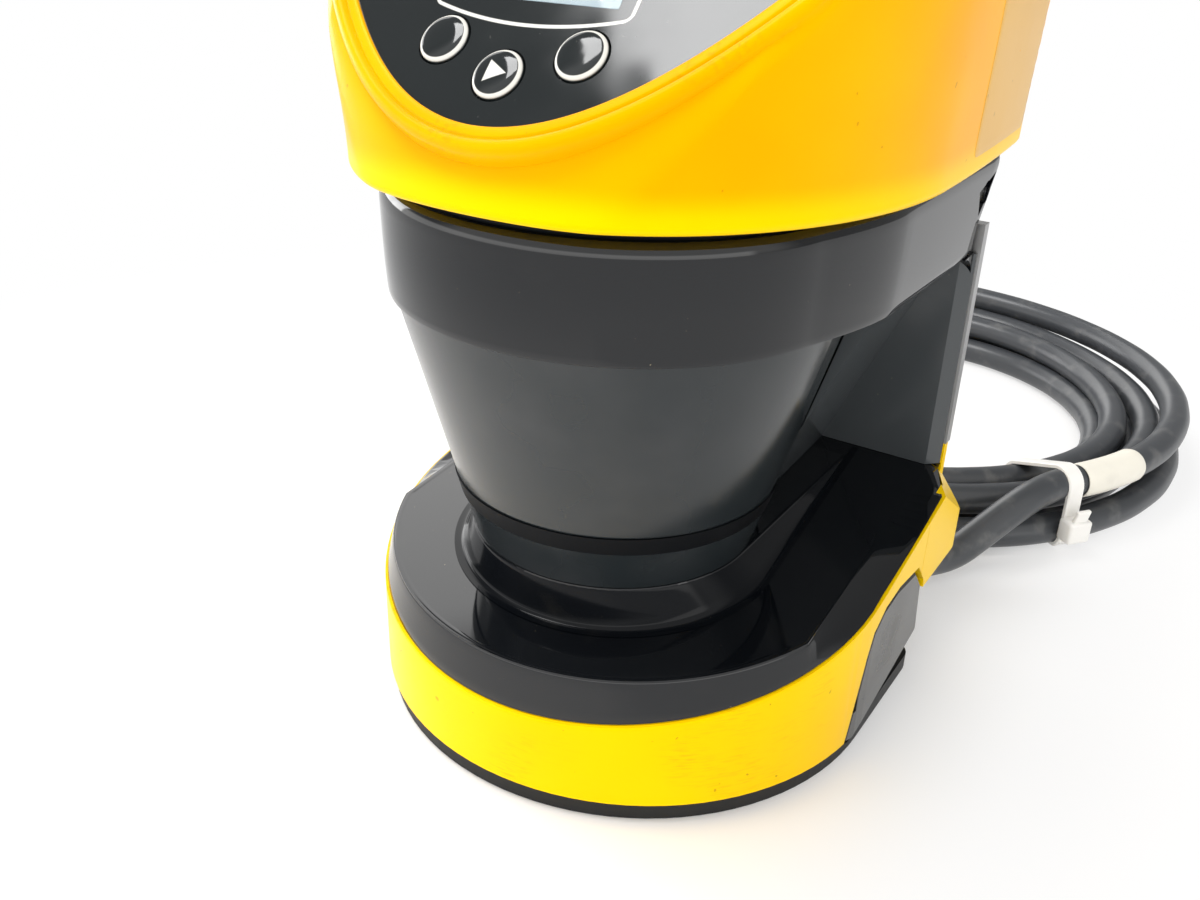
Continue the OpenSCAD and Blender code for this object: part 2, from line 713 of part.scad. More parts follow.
lens_r = 31;
lens_z = 98;
laser_r = 4;
arm_z = lens_z + 8.5;                    // underside of the arms that carry the laser module
arm_t = 3;
holder_top = lens_z + 30;
module receiver_lens() {
    color("lightcyan") about_scan_axis() difference() {
        union() {
            translate([0, 0, lens_z]) cylinder(r = lens_r, h = 2);
            // convex upper face: a slice of a ball
            intersection() {
                translate([0, 0, lens_z + 7 - 90]) sphere(r = 90, $fn = 128);
                translate([0, 0, lens_z + 1.9]) cylinder(r = lens_r - 1.5, h = 10);
            }
        }
        translate([0, 0, lens_z - 1]) cylinder(r = laser_r + 0.6, h = 20);
    }
}

module lens_holder() {
    color("#2a2d31") about_scan_axis() {
        rotate_extrude() polygon([
            [lens_r - 3, ledge_z + 0.1], [bore_r - 0.3, ledge_z + 0.1], [bore_r - 0.3, ledge_z + 2],
            [lens_r + 4, ledge_z + 2], [lens_r + 4, lens_z + 14], [16, holder_top],
            [9, holder_top], [9, holder_top - 2], [14.5, holder_top - 2],
            [lens_r + 1.8, lens_z + 13], [lens_r + 1.8, lens_z + 2], [lens_r + 0.1, lens_z + 2],
            [lens_r + 0.1, lens_z - 0.1], [lens_r - 3, lens_z - 0.1]]);
        // three arms that carry the laser module above the lens
        for (a = [90, 210, 330]) rotate(a) translate([laser_r + 0.4, -1, arm_z]) cube([29, 2, arm_t]);
        difference() {
            translate([0, 0, arm_z]) cylinder(r = laser_r + 2, h = arm_t);
            translate([0, 0, arm_z - 1]) cylinder(r = laser_r + 0.05, h = arm_t + 2);
        }
    }
}

module laser_module() {
    color("goldenrod") about_scan_axis() difference() {
        union() {
            translate([0, 0, lens_z - 1]) cylinder(r = laser_r, h = 16);
            translate([0, 0, arm_z + arm_t + 0.1]) cylinder(r = laser_r + 1.2, h = 3.4);
        }
        translate([0, 0, lens_z - 2]) cylinder(r = 2.2, h = 3);
    }
}

module receiver_board() {
    color("darkgreen") about_scan_axis() {
        difference() {
            translate([-17, -15, holder_top + 0.1]) cube([34, 30, board_t]);
            translate([0, 0, holder_top - 3]) cylinder(r = 3, h = 4);
        }
        translate([-9, -9, holder_top + 0.1 + board_t]) cube([18, 18, 5]);
    }
}

// ---- boards -----------------------------------------------------------------------------

board_t = 1.6;
main_y = head_rear - 10;
main_w = head_w - 13.5;                  // half width
main_h = head_h - 11;
main_low = head_z0 + 3;
module main_board() {
    chip_t = 6;
    post_len = head_rear - flare_max + 1.4 - head_t - main_y - board_t;
    color("darkgreen") {
        translate([-main_w, main_y, main_low]) cube([2 * main_w, board_t, main_h]);
        translate([-main_w + 10, main_y - chip_t, main_low + 5]) cube([22, chip_t, main_h / 4]);
        translate([6, main_y - 4, main_low + 7]) cube([18, 4, main_h / 2]);
        for (x = [-1, 1], z = [5, main_h - 5])
            translate([x * (main_w - 10), main_y + board_t, main_low + z]) rotate([-90, 0, 0])
                cylinder(r = 2.2, h = post_len, $fn = 24);
    }
}

base_board_z = 14;
base_board_w = base_r - 22.5;            // half width
base_board_y0 = -31;
base_board_len = 59;
pillar_x = base_board_w - 4.5;
pillar_at = [for (x = [-pillar_x, pillar_x], y = [5, base_board_len - 4]) [x, base_board_y0 + y]];
module base_board() {
    color("darkgreen") {
        difference() {
            translate([-base_board_w, base_board_y0, base_board_z])
                cube([2 * base_board_w, base_board_len, board_t]);
            about_scan_axis() translate([0, 0, base_board_z - 1]) cylinder(r = motor_r + 1.5, h = 4);
        }
        translate([-30, 12, base_board_z + board_t]) cube([14, 10, 6]);
        translate([8, 12, base_board_z + board_t]) cube([20, 8, 4]);
    }
}
module board_pillars() {
    color("silver") for (p = pillar_at) translate([p[0], p[1], plate_t - 0.1])
        cylinder(r = 2.5, h = base_board_z - plate_t, $fn = 32);
}

// ---- screws -----------------------------------------------------------------------------

// A pan-head screw along -Z: the head's top at the origin
module screw(r, head_r, head_h, len) {
    difference() {
        union() {
            translate([0, 0, -head_h]) cylinder(r = head_r, h = head_h, $fn = 40);
            translate([0, 0, -len]) cylinder(r = r, h = len, $fn = 24);
        }
        translate([0, 0, -1]) cylinder(r = head_r * 0.45, h = 2, $fn = 6);
    }
}
module base_screws() {
    color("silver") for (p = foot_screws) translate([p[0], p[1], 0.3]) rotate([180, 0, 0])
        screw(1.5, screw_head_r - 0.2, screw_head_h - 0.1, 12);
}
module rear_screws() {
    color("silver") {
        for (p = rear_screw_at) translate([p[0], base_rear + 1.6, p[1]]) rotate([-90, 0, 0])
            screw(1.5, 2.7, 1.5, 8);
        mirrored() translate([housing_w - 1.2, corner_screw[0], corner_screw[1]]) rotate([0, 90, 0])
            screw(1.25, 2.2, 1.7, 8);
    }
}

// ---- lead -------------------------------------------------------------------------------

gland_at = [base_r - 11, 11];            // across and up
gland_len = 20;
cord_r = cord_d / 2;
module cable_gland() {
    color(ink) translate([gland_at[0], plate_rear + 0.1, gland_at[1]]) rotate([-90, 0, 0]) difference() {
        union() {
            cylinder(r = 6.8, h = 4, $fn = 6);
            translate([0, 0, 3.9]) cylinder(r1 = 6, r2 = cord_r + 0.8, h = gland_len - 3.9);
        }
        translate([0, 0, 3]) cylinder(r = cord_r + 0.05, h = far);
    }
}

// The lead's route, from the gland to the cable tie
cord_route = [
    [45, 37, 11], [45, 43, 11], [45, 49, 11], [45.1, 54, 10.8], [45.6, 58.5, 10.1], [46.6, 63, 8.9],
    [48, 67, 7.8], [50, 71.5, 7.3], [52.3, 76, 8], [54.6, 80.5, 9.9], [57, 85, 12.2], [59.6, 90, 14.6],
    [62.2, 95.5, 16.6], [64.5, 101, 17.5], [66.6, 106, 17.8], [68.6, 110.2, 17.8]];
function unit(v) = v / norm(v);
function tangent(pts, i) = unit(pts[min(i + 1, len(pts) - 1)] - pts[max(i - 1, 0)]);
module tube(pts, r, sides = 10) {
    rings = [for (i = [0:len(pts) - 1])
        let (t = tangent(pts, i), u = unit(cross(t, [0, 0, 1])), v = cross(u, t))
        [for (k = [0:sides - 1]) pts[i] + r * (cos(360 * k / sides) * u + sin(360 * k / sides) * v)]];
    loft(rings);
}
module cord_lead() { color(ink) tube(cord_route, cord_r, 10); }

// The coil, as the room that its turns take up. The top turn at its outer edge is left out,
// because the lead's last stretch and the marker sleeve lie there.
coil_at = [0, 164];
coil_out = 92;
coil_in = 62;
coil_h = 22;
coil_step_r = 81.4;
coil_step_h = 13;
tie_w = 5;
tie_t = 1.2;
module cord_coil() {
    color(ink) difference() {
        translate([coil_at[0], coil_at[1], 0]) rotate_extrude() polygon([
            [coil_in, 4], [coil_in + 4, 0], [coil_out - 4, 0], [coil_out, 4],
            [coil_out, coil_step_h - 2], [coil_out - 2, coil_step_h], [coil_step_r, coil_step_h],
            [coil_step_r, coil_h - 2], [coil_step_r - 2, coil_h],
            [coil_in + 6, coil_h], [coil_in, coil_h - 6]]);
        // the tie passes underneath
        at_tie() translate([0, -tie_w / 2 - gap, -1]) cube([coil_out + 10, tie_w + 2 * gap, 1 + tie_t + gap]);
    }
}

// Cable tie: a flat strap round the coil, with a square head on its outer side
tie_a = -38;                             // where on the coil it sits
module at_tie() { translate([coil_at[0], coil_at[1], 0]) rotate([0, 0, tie_a]) children(); }
module cable_tie() {
    color("white") at_tie() {
        difference() {
            translate([coil_in - gap - tie_t, -tie_w / 2, 0])
                cube([coil_out - coil_in + 2 * (tie_t + gap), tie_w, coil_h + gap + tie_t]);
            translate([coil_in - gap, -tie_w, tie_t])
                cube([coil_out - coil_in + 2 * gap, 2 * tie_w, coil_h + gap - tie_t]);
        }
        translate([coil_out + gap + tie_t, -4, 7]) cube([5, 8, 7]);
    }
}

// Marker sleeve: a blank white tube on the lead, just past the tie
sleeve_a = 10;                           // how far past the tie
module marker_sleeve() {
    color("ivory") translate([coil_at[0], coil_at[1], 0]) rotate([0, 0, tie_a + sleeve_a])
        translate([coil_out - cord_r - 1, 0, coil_step_h + cord_r + 1]) rotate([90, 0, 0]) difference() {
            cylinder(r = cord_r + 0.8, h = 20, center = true);
            cylinder(r = cord_r + 0.1, h = 22, center = true);
        }
}

base_plate();
base_band();
base_deck();
side_cover_right();
side_cover_left();
rear_cover();
window_foot();
window_seal();
window();
upper_housing();
rear_column();
back_plate();
head_seal();
head_shell();
panel_plate();
lcd_lens();
lcd_module();
key_escape();
key_arrow();
key_enter();
rating_plate();
motor_housing();
motor_shaft();
mirror_carrier();
scan_mirror();
encoder_disc();
encoder_board();
receiver_lens();
lens_holder();
receiver_board();
laser_module();
display_board();
main_board();
base_board();
board_pillars();
base_screws();
rear_screws();
cable_gland();
cord_lead();
cord_coil();
cable_tie();
marker_sleeve();
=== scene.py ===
# %% [markdown]
# # A safety laser scanner
# The scanner is a yellow head with keys and a display, above a black conical window that a
# laser beam sweeps through. A horseshoe base carries the window, a rear wall joins base and
# head, and a coiled lead lies behind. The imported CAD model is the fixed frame: this lesson
# gives each of its parts a finish, and replaces a few that need smoother forms.

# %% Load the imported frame
import math

import bmesh
import bpy
import numpy as np
from mathutils import Matrix, Vector


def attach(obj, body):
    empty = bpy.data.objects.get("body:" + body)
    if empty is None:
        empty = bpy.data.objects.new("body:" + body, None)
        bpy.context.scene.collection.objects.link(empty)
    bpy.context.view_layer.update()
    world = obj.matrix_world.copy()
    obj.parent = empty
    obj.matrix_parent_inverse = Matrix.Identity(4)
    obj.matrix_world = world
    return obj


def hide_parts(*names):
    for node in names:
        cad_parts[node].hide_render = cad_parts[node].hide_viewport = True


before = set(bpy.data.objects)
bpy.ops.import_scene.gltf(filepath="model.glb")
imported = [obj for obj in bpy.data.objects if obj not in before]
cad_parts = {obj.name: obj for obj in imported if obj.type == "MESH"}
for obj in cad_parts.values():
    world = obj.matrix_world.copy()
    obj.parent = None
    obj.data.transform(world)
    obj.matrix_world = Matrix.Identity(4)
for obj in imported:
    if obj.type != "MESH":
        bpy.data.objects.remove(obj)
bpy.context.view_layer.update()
MM = 0.001

# %% [markdown]
# ## The camera
# A camera is placed by its position and by three axes: right, up and back. Azimuth and
# elevation give the back axis, and a small roll turns the other two about it. Building the
# rotation from the axes keeps the three numbers readable, where Euler angles would hide them.

# %% Place the camera
CAMERA_AT = Vector((110.94, -194.09, 162.56)) * MM
AZIMUTH, ELEVATION, ROLL = (math.radians(a) for a in (32.16, 26.48, 1.91))


def camera_axes(azimuth, elevation, roll):
    """The camera's right, up and back directions."""
    back = Vector((math.sin(azimuth) * math.cos(elevation), -math.cos(azimuth) * math.cos(elevation),
                   math.sin(elevation)))
    right = Vector((0, 0, 1)).cross(back).normalized()
    up = back.cross(right)
    return (right * math.cos(roll) + up * math.sin(roll), up * math.cos(roll) - right * math.sin(roll), back)


camera = bpy.data.objects.new("camera", bpy.data.cameras.new("camera"))
camera.data.lens = 34.84
camera.data.sensor_width = 36
camera.data.clip_start = 0.01
camera.matrix_world = Matrix.Translation(CAMERA_AT) @ Matrix(
    camera_axes(AZIMUTH, ELEVATION, ROLL)).transposed().to_4x4()
bpy.context.scene.collection.objects.link(camera)
bpy.context.scene.camera = camera
print("camera at", tuple(round(v, 3) for v in CAMERA_AT))

# %% [markdown]
# ## The lead
# The lead leaves the gland at the rear, sinks to the floor, climbs onto the coil and winds
# down through it. A Bezier curve with a round bevel is the natural choice: it stays editable,
# and its length can be measured. The free stretch is a list of points. The coil's turns come
# from a loop: each turn has a radius and a height, and it moves to the next turn's place over
# a short stretch on the hidden side.

# %% Route the lead
LEAD_D = 8.4
COIL_AT = Vector((0, 164))
TIE_ANGLE = -38
FREE_ROUTE = [
    (45, 37, 11), (45, 43, 11), (45, 49, 11), (45.1, 54, 10.8), (45.6, 58.5, 10.1), (46.6, 63, 8.9),
    (48, 67, 7.8), (50, 71.5, 7.3), (52.3, 76, 8), (54.6, 80.5, 9.9), (57, 85, 12.2), (59.6, 90, 14.6),
    (62.2, 95.5, 16.6), (64.5, 101, 17.5), (66.6, 106, 17.8), (68.6, 110.2, 17.8)]
# radius and height of each turn's middle, in the order in which the lead runs through them
TURNS = [(87.0, 17.6), (80.6, 11.0), (70.8, 11.0), (66.4, 4.2), (76.2, 4.2), (87.3, 4.2)]
POINTS_PER_TURN = 30
STEP_FROM, STEP_TO = 232, 286          # where, past the tie, a turn steps to the next one's place


def ease(t):
    """A soft step from 0 to 1."""
    t = np.clip(t, 0, 1)
    return t * t * (3 - 2 * t)


def coil_point(i):
    """A point of the coil, i steps past the tie."""
    turn, step = divmod(i, POINTS_PER_TURN)
    turn, past = int(turn), 360 * step / POINTS_PER_TURN
    r0, z0 = TURNS[turn]
    r1, z1 = TURNS[min(turn + 1, len(TURNS) - 1)]
    share = ease((past - STEP_FROM) / (STEP_TO - STEP_FROM))
    r, z = r0 + (r1 - r0) * share, z0 + (z1 - z0) * share
    loose = math.sin(math.radians(past) / 2) ** 2          # nothing at the tie, most across from it
    r += loose * (1.1 * math.sin(math.radians(2 * past) + 1.7 * turn) - 0.6)
    if z > LEAD_D:
        z += 0.5 * loose * (1 + math.sin(math.radians(3 * past) + turn))
        z += 1.6 * math.sin(math.pi * np.clip((past - STEP_FROM) / (STEP_TO - STEP_FROM), 0, 1))
    a = math.radians(TIE_ANGLE + past)
    return COIL_AT.x + r * math.cos(a), COIL_AT.y + r * math.sin(a), z


def curve_through(points, name, diameter):
    """A round curve object through points in millimetres."""
    curve = bpy.data.curves.new(name, "CURVE")
    curve.dimensions = "3D"
    curve.bevel_depth = 1.0                                # the points' own radius gives the size
    curve.bevel_resolution = 6
    curve.resolution_u = 6
    curve.use_fill_caps = True
    spline = curve.splines.new("BEZIER")
    spline.bezier_points.add(len(points) - 1)
    for knot, p in zip(spline.bezier_points, points):
        knot.co = Vector(p) * MM
        knot.handle_left_type = knot.handle_right_type = "AUTO"
        knot.radius = diameter / 2 * MM
    obj = bpy.data.objects.new(name, curve)
    bpy.context.scene.collection.objects.link(obj)
    return obj


coil_steps = len(TURNS) * POINTS_PER_TURN - 8
lead_points = FREE_ROUTE + [coil_point(i) for i in range(coil_steps)]
lead = curve_through(lead_points, "lead", LEAD_D)

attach(lead, "scanner")
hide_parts("cord_lead", "cord_coil")

# %% [markdown]
# ## Shader maths as Python
# A node tree is hard to read back from a list of links. Here one small class wraps an output
# socket and overloads the operators, so `1 - mask * 0.3` adds the Math nodes by itself. Any
# other node comes from one method that takes its type, its settings and its inputs.


# %% A socket that does arithmetic
class Field:
    """A value that varies over a surface: one output socket of a shader's tree."""

    def __init__(self, shader, socket):
        self.shader, self.socket = shader, socket

    def _math(self, operation, a, b):
        return self.shader.node("ShaderNodeMath", {"operation": operation}, {0: a, 1: b})

    def __add__(self, other):
        return self._math("ADD", self, other)

    def __sub__(self, other):
        return self._math("SUBTRACT", self, other)

    def __rsub__(self, other):
        return self._math("SUBTRACT", other, self)

    def __mul__(self, other):
        return self._math("MULTIPLY", self, other)

    def __pow__(self, other):
        return self._math("POWER", self, other)

    def __abs__(self):
        return self._math("ABSOLUTE", self, 0.0)

    def at_least(self, other):
        return self._math("MAXIMUM", self, other)

    def at_most(self, other):
        return self._math("MINIMUM", self, other)

    __radd__, __rmul__ = __add__, __mul__


class Shader:
    """A material's node tree. Every node of it is made by node()."""

    def __init__(self, name):
        self.material = bpy.data.materials.new(name)
        self.material.use_nodes = True
        self.tree = self.material.node_tree
        self.tree.nodes.clear()

    def node(self, kind, settings=None, inputs=None, out=0):
        made = self.tree.nodes.new(kind)
        for key, value in (settings or {}).items():
            if key == "stops":
                ramp = made.color_ramp
                while len(ramp.elements) < len(value):
                    ramp.elements.new(0.5)
                for element, (place, colour) in zip(ramp.elements, value):
                    element.position, element.color = place, colour
            else:
                setattr(made, key, value)
        for key, value in (inputs or {}).items():
            if isinstance(value, Field):
                self.tree.links.new(value.socket, made.inputs[key])
            else:
                made.inputs[key].default_value = value
        return Field(self, made.outputs[out]) if len(made.outputs) else None

    def place(self, stretch=(1, 1, 1)):
        """Object coordinates, in metres, stretched along each axis."""
        here = self.node("ShaderNodeTexCoord", out=3)
        return self.node("ShaderNodeVectorMath", {"operation": "MULTIPLY"}, {0: here, 1: stretch})

    def axis(self, name):
        """One of the object coordinates, in metres."""
        return self.node("ShaderNodeSeparateXYZ", None, {0: self.place()}, out="XYZ".index(name))

    def noise(self, per_metre, detail=3.0, stretch=(1, 1, 1)):
        return self.node("ShaderNodeTexNoise", None, {
            "Vector": self.place(stretch), "Scale": per_metre, "Detail": detail})

    def ramp(self, field, low, high, a=0.0, b=1.0):
        """Smooth step: a below low, b above high."""
        return self.node("ShaderNodeMapRange", {"interpolation_type": "SMOOTHSTEP"}, {
            "Value": field, "From Min": low, "From Max": high, "To Min": a, "To Max": b})

    def mix(self, mask, a, b):
        """Colour a where the mask is 0, colour b where it is 1."""
        return self.node("ShaderNodeMix", {"data_type": "RGBA"}, {0: mask, 6: a, 7: b}, out=2)

    def line(self, distance, half, soft):
        """1 where a distance is smaller than half a line's width."""
        return self.ramp(abs(distance), half - soft, half + soft, 1.0, 0.0)

    def bump(self, height, distance, strength=1.0):
        return self.node("ShaderNodeBump", None, {"Height": height, "Distance": distance, "Strength": strength})

    def surface(self, **inputs):
        """Ends the tree in a Principled BSDF with these inputs, an underscore for each space."""
        named = {key.replace("_", " "): value for key, value in inputs.items()}
        self.node("ShaderNodeOutputMaterial", None, {0: self.node("ShaderNodeBsdfPrincipled", None, named)})
        return self.material


def opaque(red, green, blue):
    return (red, green, blue, 1)


# %% [markdown]
# ## Yellow plastic
# The head and the base are moulded in one warm yellow with a soft gloss, but the head's copy is
# darker and more orange: a painted shade. What makes it real is faint: a slight mottling in the
# colour, a fine skin that breaks up reflections, and rubbed marks and specks of dirt where hands
# and floors have touched it. Each is a noise with its own scale, turned into a mask by a smooth step.


# %% Yellow finishes
def yellow_plastic(name, colour, shade, rubbed, dirt=(0.30, 0.13, 0.01), streak=(1, 1, 1), painted_light_edge=None):
    """Moulded yellow: colour and its darker shade, and how much of it is rubbed, from 0 to 1.

    The height of a lower edge can be given: a band of paler yellow just above it is painted light."""
    shader = Shader(name)
    mottle = shader.ramp(shader.noise(26, 2), 0.35, 0.7)
    base = shader.mix(mottle, opaque(*colour), opaque(*shade))
    if painted_light_edge is not None:
        # a paler yellow band just above the lower edge: painted light
        base = shader.mix(shader.ramp(shader.axis("Z"), painted_light_edge + 0.001, painted_light_edge + 0.0065, 1.0, 0.0), base,
                          opaque(1.0, 0.62, 0.0))
    rub_area = shader.ramp(shader.noise(34, 2), 0.56, 0.7)
    rub_grain = shader.ramp(shader.noise(900, 4, streak), 0.46, 0.72)
    rub = rub_area * rub_grain * rubbed
    base = shader.mix(rub, base, opaque(*dirt))
    specks = shader.ramp(shader.noise(520, 1), 0.78, 0.81) * (0.5 * rubbed + 0.2)
    base = shader.mix(specks, base, opaque(0.12, 0.05, 0.01))
    skin = shader.bump(shader.noise(1500, 2) + shader.noise(160, 2) * 3, 0.000018, 0.5)
    return shader.surface(Base_Color=base, Roughness=0.27 + rub * 0.2 + shader.noise(90, 2) * 0.06,
                          Normal=skin, IOR=1.5, Specular_IOR_Level=0.13,
                          Specular_Tint=opaque(1.0, 0.72, 0.02))


# %% [markdown]
# ## Black plastics
# The deck, the housing and the rear wall are piano black: nearly no colour of their own, a
# sharp reflection, and dust that shows. The window passes infrared light and looks like dark
# smoked plastic with a softer gloss. The bottom plate and the seals are matt.


# %% Black finishes
def gloss_black(name, roughness=0.05, dust=0.5, colour=(0.003, 0.0038, 0.0052), gloss=0.5):
    """Polished black with smudges in its gloss and pale dust specks."""
    shader = Shader(name)
    smudge = shader.ramp(shader.noise(38, 3), 0.45, 0.75)
    grime = shader.ramp(shader.noise(120, 4), 0.5, 0.8) * smudge
    specks = shader.ramp(shader.noise(1300, 1), 0.79, 0.83) * shader.ramp(shader.noise(45, 2), 0.45, 0.6)
    base = shader.mix(grime * 0.25 * dust, opaque(*colour), opaque(0.05, 0.045, 0.035))
    base = shader.mix(specks * dust, base, opaque(0.42, 0.36, 0.22))
    return shader.surface(Base_Color=base, Roughness=smudge * 0.05 + grime * 0.12 * dust + roughness,
                          Normal=shader.bump(shader.noise(60, 1), 0.00002, 0.3), IOR=1.52,
                          Specular_IOR_Level=gloss)


def smoked_window(name):
    """Dark filter plastic: a grey body colour, faint clouds and fine marks that run round it."""
    shader = Shader(name)
    cloud = shader.ramp(shader.noise(42, 3), 0.3, 0.75)
    fine = shader.noise(700, 3, (0.25, 0.25, 5))
    base = shader.mix(cloud, opaque(0.013, 0.017, 0.019), opaque(0.026, 0.029, 0.031))
    return shader.surface(Base_Color=base, Roughness=cloud * 0.05 + fine * 0.06 + 0.14,
                          Normal=shader.bump(fine, 0.000006, 0.4), IOR=1.5)


def matt_plastic(name, colour, roughness=0.55, grain=900, gloss=0.5):
    """Plain moulded plastic or rubber with a fine grain."""
    shader = Shader(name)
    worn = shader.ramp(shader.noise(60, 3), 0.5, 0.8)
    base = shader.mix(worn * 0.35, opaque(*colour), opaque(*[min(1, c * 1.6 + 0.01) for c in colour]))
    return shader.surface(Base_Color=base, Roughness=worn * 0.1 + roughness,
                          Normal=shader.bump(shader.noise(grain, 3), 0.00003, 0.5), Specular_IOR_Level=gloss)


# %% [markdown]
# ## The panel's print
# The keys' rings, the arrow and the line round the display are printed, so they belong to the
# material and not to the mesh. Rotating object coordinates into the panel's plane gives two
# fields in millimetres, and each printed line is then a distance with a narrow step.


# %% Printed black
def panel_place(shader):
    """x across the panel and u up its slope, in millimetres."""
    tilt = math.radians(48)
    x, y, z = (shader.axis(name) * 1000 for name in "XYZ")
    return x, (y + 56) * math.cos(tilt) + (z - 128) * math.sin(tilt)


def soft_meet(shader, a, b, r):
    """The same rounded corner as in the meshes, made of maths nodes."""
    out = ((a + r).at_least(0.0) ** 2 + (b + r).at_least(0.0) ** 2) ** 0.5
    return a.at_least(b).at_most(-r) + out


def printed_black(name, marks, roughness):
    """Polished black film with white print where marks(shader, x, u) is 1."""
    shader = Shader(name)
    printed = marks(shader, *panel_place(shader))
    hair = shader.ramp(shader.noise(420, 3, (1, 0.2, 0.2)), 0.66, 0.7)
    hair = hair * shader.ramp(shader.noise(60, 2), 0.5, 0.65)
    specks = shader.ramp(shader.noise(900, 1), 0.77, 0.8)
    base = shader.mix(hair * 0.25 + specks * 0.3, opaque(0.010, 0.013, 0.014), opaque(0.10, 0.10, 0.09))
    base = shader.mix(printed, base, opaque(0.72, 0.71, 0.66))
    wave = shader.bump(shader.noise(55, 1.0) + shader.noise(24, 0) * 1.5, 0.0007, 0.5)
    cloud = shader.ramp(shader.noise(30, 3), 0.42, 0.72)
    return shader.surface(Base_Color=base, Roughness=printed * 0.2 + hair * 0.1 + cloud * 0.12 + roughness,
                          Normal=wave, IOR=1.5)


def display_frame(shader, x, u):
    lower = 18.0 + x * x * 0.0080
    frame_line = soft_meet(shader, soft_meet(shader, abs(x) - 18.2, lower - u, 1.2), u - 37.4, 1.2)
    return shader.line(frame_line, 0.30, 0.10)


def key_marks(shader, x, u):
    outer = ((abs(x) - 12.9) ** 2 + (u - 13.9) ** 2) ** 0.5
    middle = (x ** 2 + (u - 9.0) ** 2) ** 0.5
    ring = shader.line(outer.at_most(middle) - 4.0, 0.26, 0.08)
    arrow = (x * 0.466 - 0.93 + abs(u - 9.0) * 0.885).at_least(x * -1 - 1.6)
    return ring.at_least(shader.ramp(arrow, -0.1, 0.1, 1.0, 0.0))


# %% [markdown]
# ## Metals, boards and glass
# Metals differ mostly in colour and roughness, so one function serves them all, with fine
# scratches that lie along one axis. A circuit board is green lacquer over copper tracks.


# %% Metal, board and glass finishes
def metal(name, colour, roughness=0.32, streak=(1, 1, 12)):
    shader = Shader(name)
    scratch = shader.noise(900, 4, streak)
    base = shader.mix(shader.ramp(shader.noise(70, 3), 0.4, 0.8) * 0.4, opaque(*colour),
                      opaque(*[c * 0.72 for c in colour]))
    return shader.surface(Base_Color=base, Metallic=1.0, Roughness=scratch * 0.2 + roughness - 0.08,
                          Normal=shader.bump(scratch, 0.000015, 0.4))


def circuit_board(name):
    shader = Shader(name)
    tracks = shader.ramp(shader.node("ShaderNodeTexBrick", {"offset": 0.5}, {
        "Vector": shader.place(), "Scale": 160.0, "Mortar Size": 0.06, "Mortar Smooth": 0.1}, out=1), 0.4, 0.6)
    base = shader.mix(tracks, opaque(0.010, 0.085, 0.028), opaque(0.030, 0.19, 0.06))
    return shader.surface(Base_Color=base, Roughness=0.38 - tracks * 0.1,
                          Normal=shader.bump(tracks, 0.00004, 0.5))


def clear_glass(name, colour, roughness=0.03):
    shader = Shader(name)
    haze = shader.ramp(shader.noise(50, 3), 0.5, 0.8)
    return shader.surface(Base_Color=opaque(*colour), Roughness=haze * 0.05 + roughness,
                          Alpha=0.25 + haze * 0.03, IOR=1.5)


def mirror_silver(name):
    shader = Shader(name)
    haze = shader.ramp(shader.noise(80, 3), 0.55, 0.85)
    return shader.surface(Base_Color=opaque(0.93, 0.94, 0.95), Metallic=1.0, Roughness=haze * 0.05 + 0.02)


def cable_jacket(name):
    """Dark PVC: satin, with fine rub marks at random; the marks are part wear and part painted highlight, and the
    grey is lifted for the same highlight.
    """
    shader = Shader(name)
    rub = shader.ramp(shader.noise(140, 4), 0.52, 0.78)
    # pale patches at random: part rub wear, part painted highlight
    base = shader.mix(rub * 0.6, opaque(0.046, 0.050, 0.056), opaque(0.15, 0.15, 0.148))
    return shader.surface(Base_Color=base, Roughness=rub * 0.1 + 0.34,
                          Normal=shader.bump(shader.noise(1500, 3), 0.00002, 0.5))


def white_nylon(name, colour):
    shader = Shader(name)
    stain = shader.ramp(shader.noise(120, 3), 0.5, 0.85)
    base = shader.mix(stain * 0.5, opaque(*colour), opaque(*[c * 0.8 for c in colour]))
    return shader.surface(Base_Color=base, Roughness=0.38, Normal=shader.bump(shader.noise(500, 2), 0.00004, 0.4))
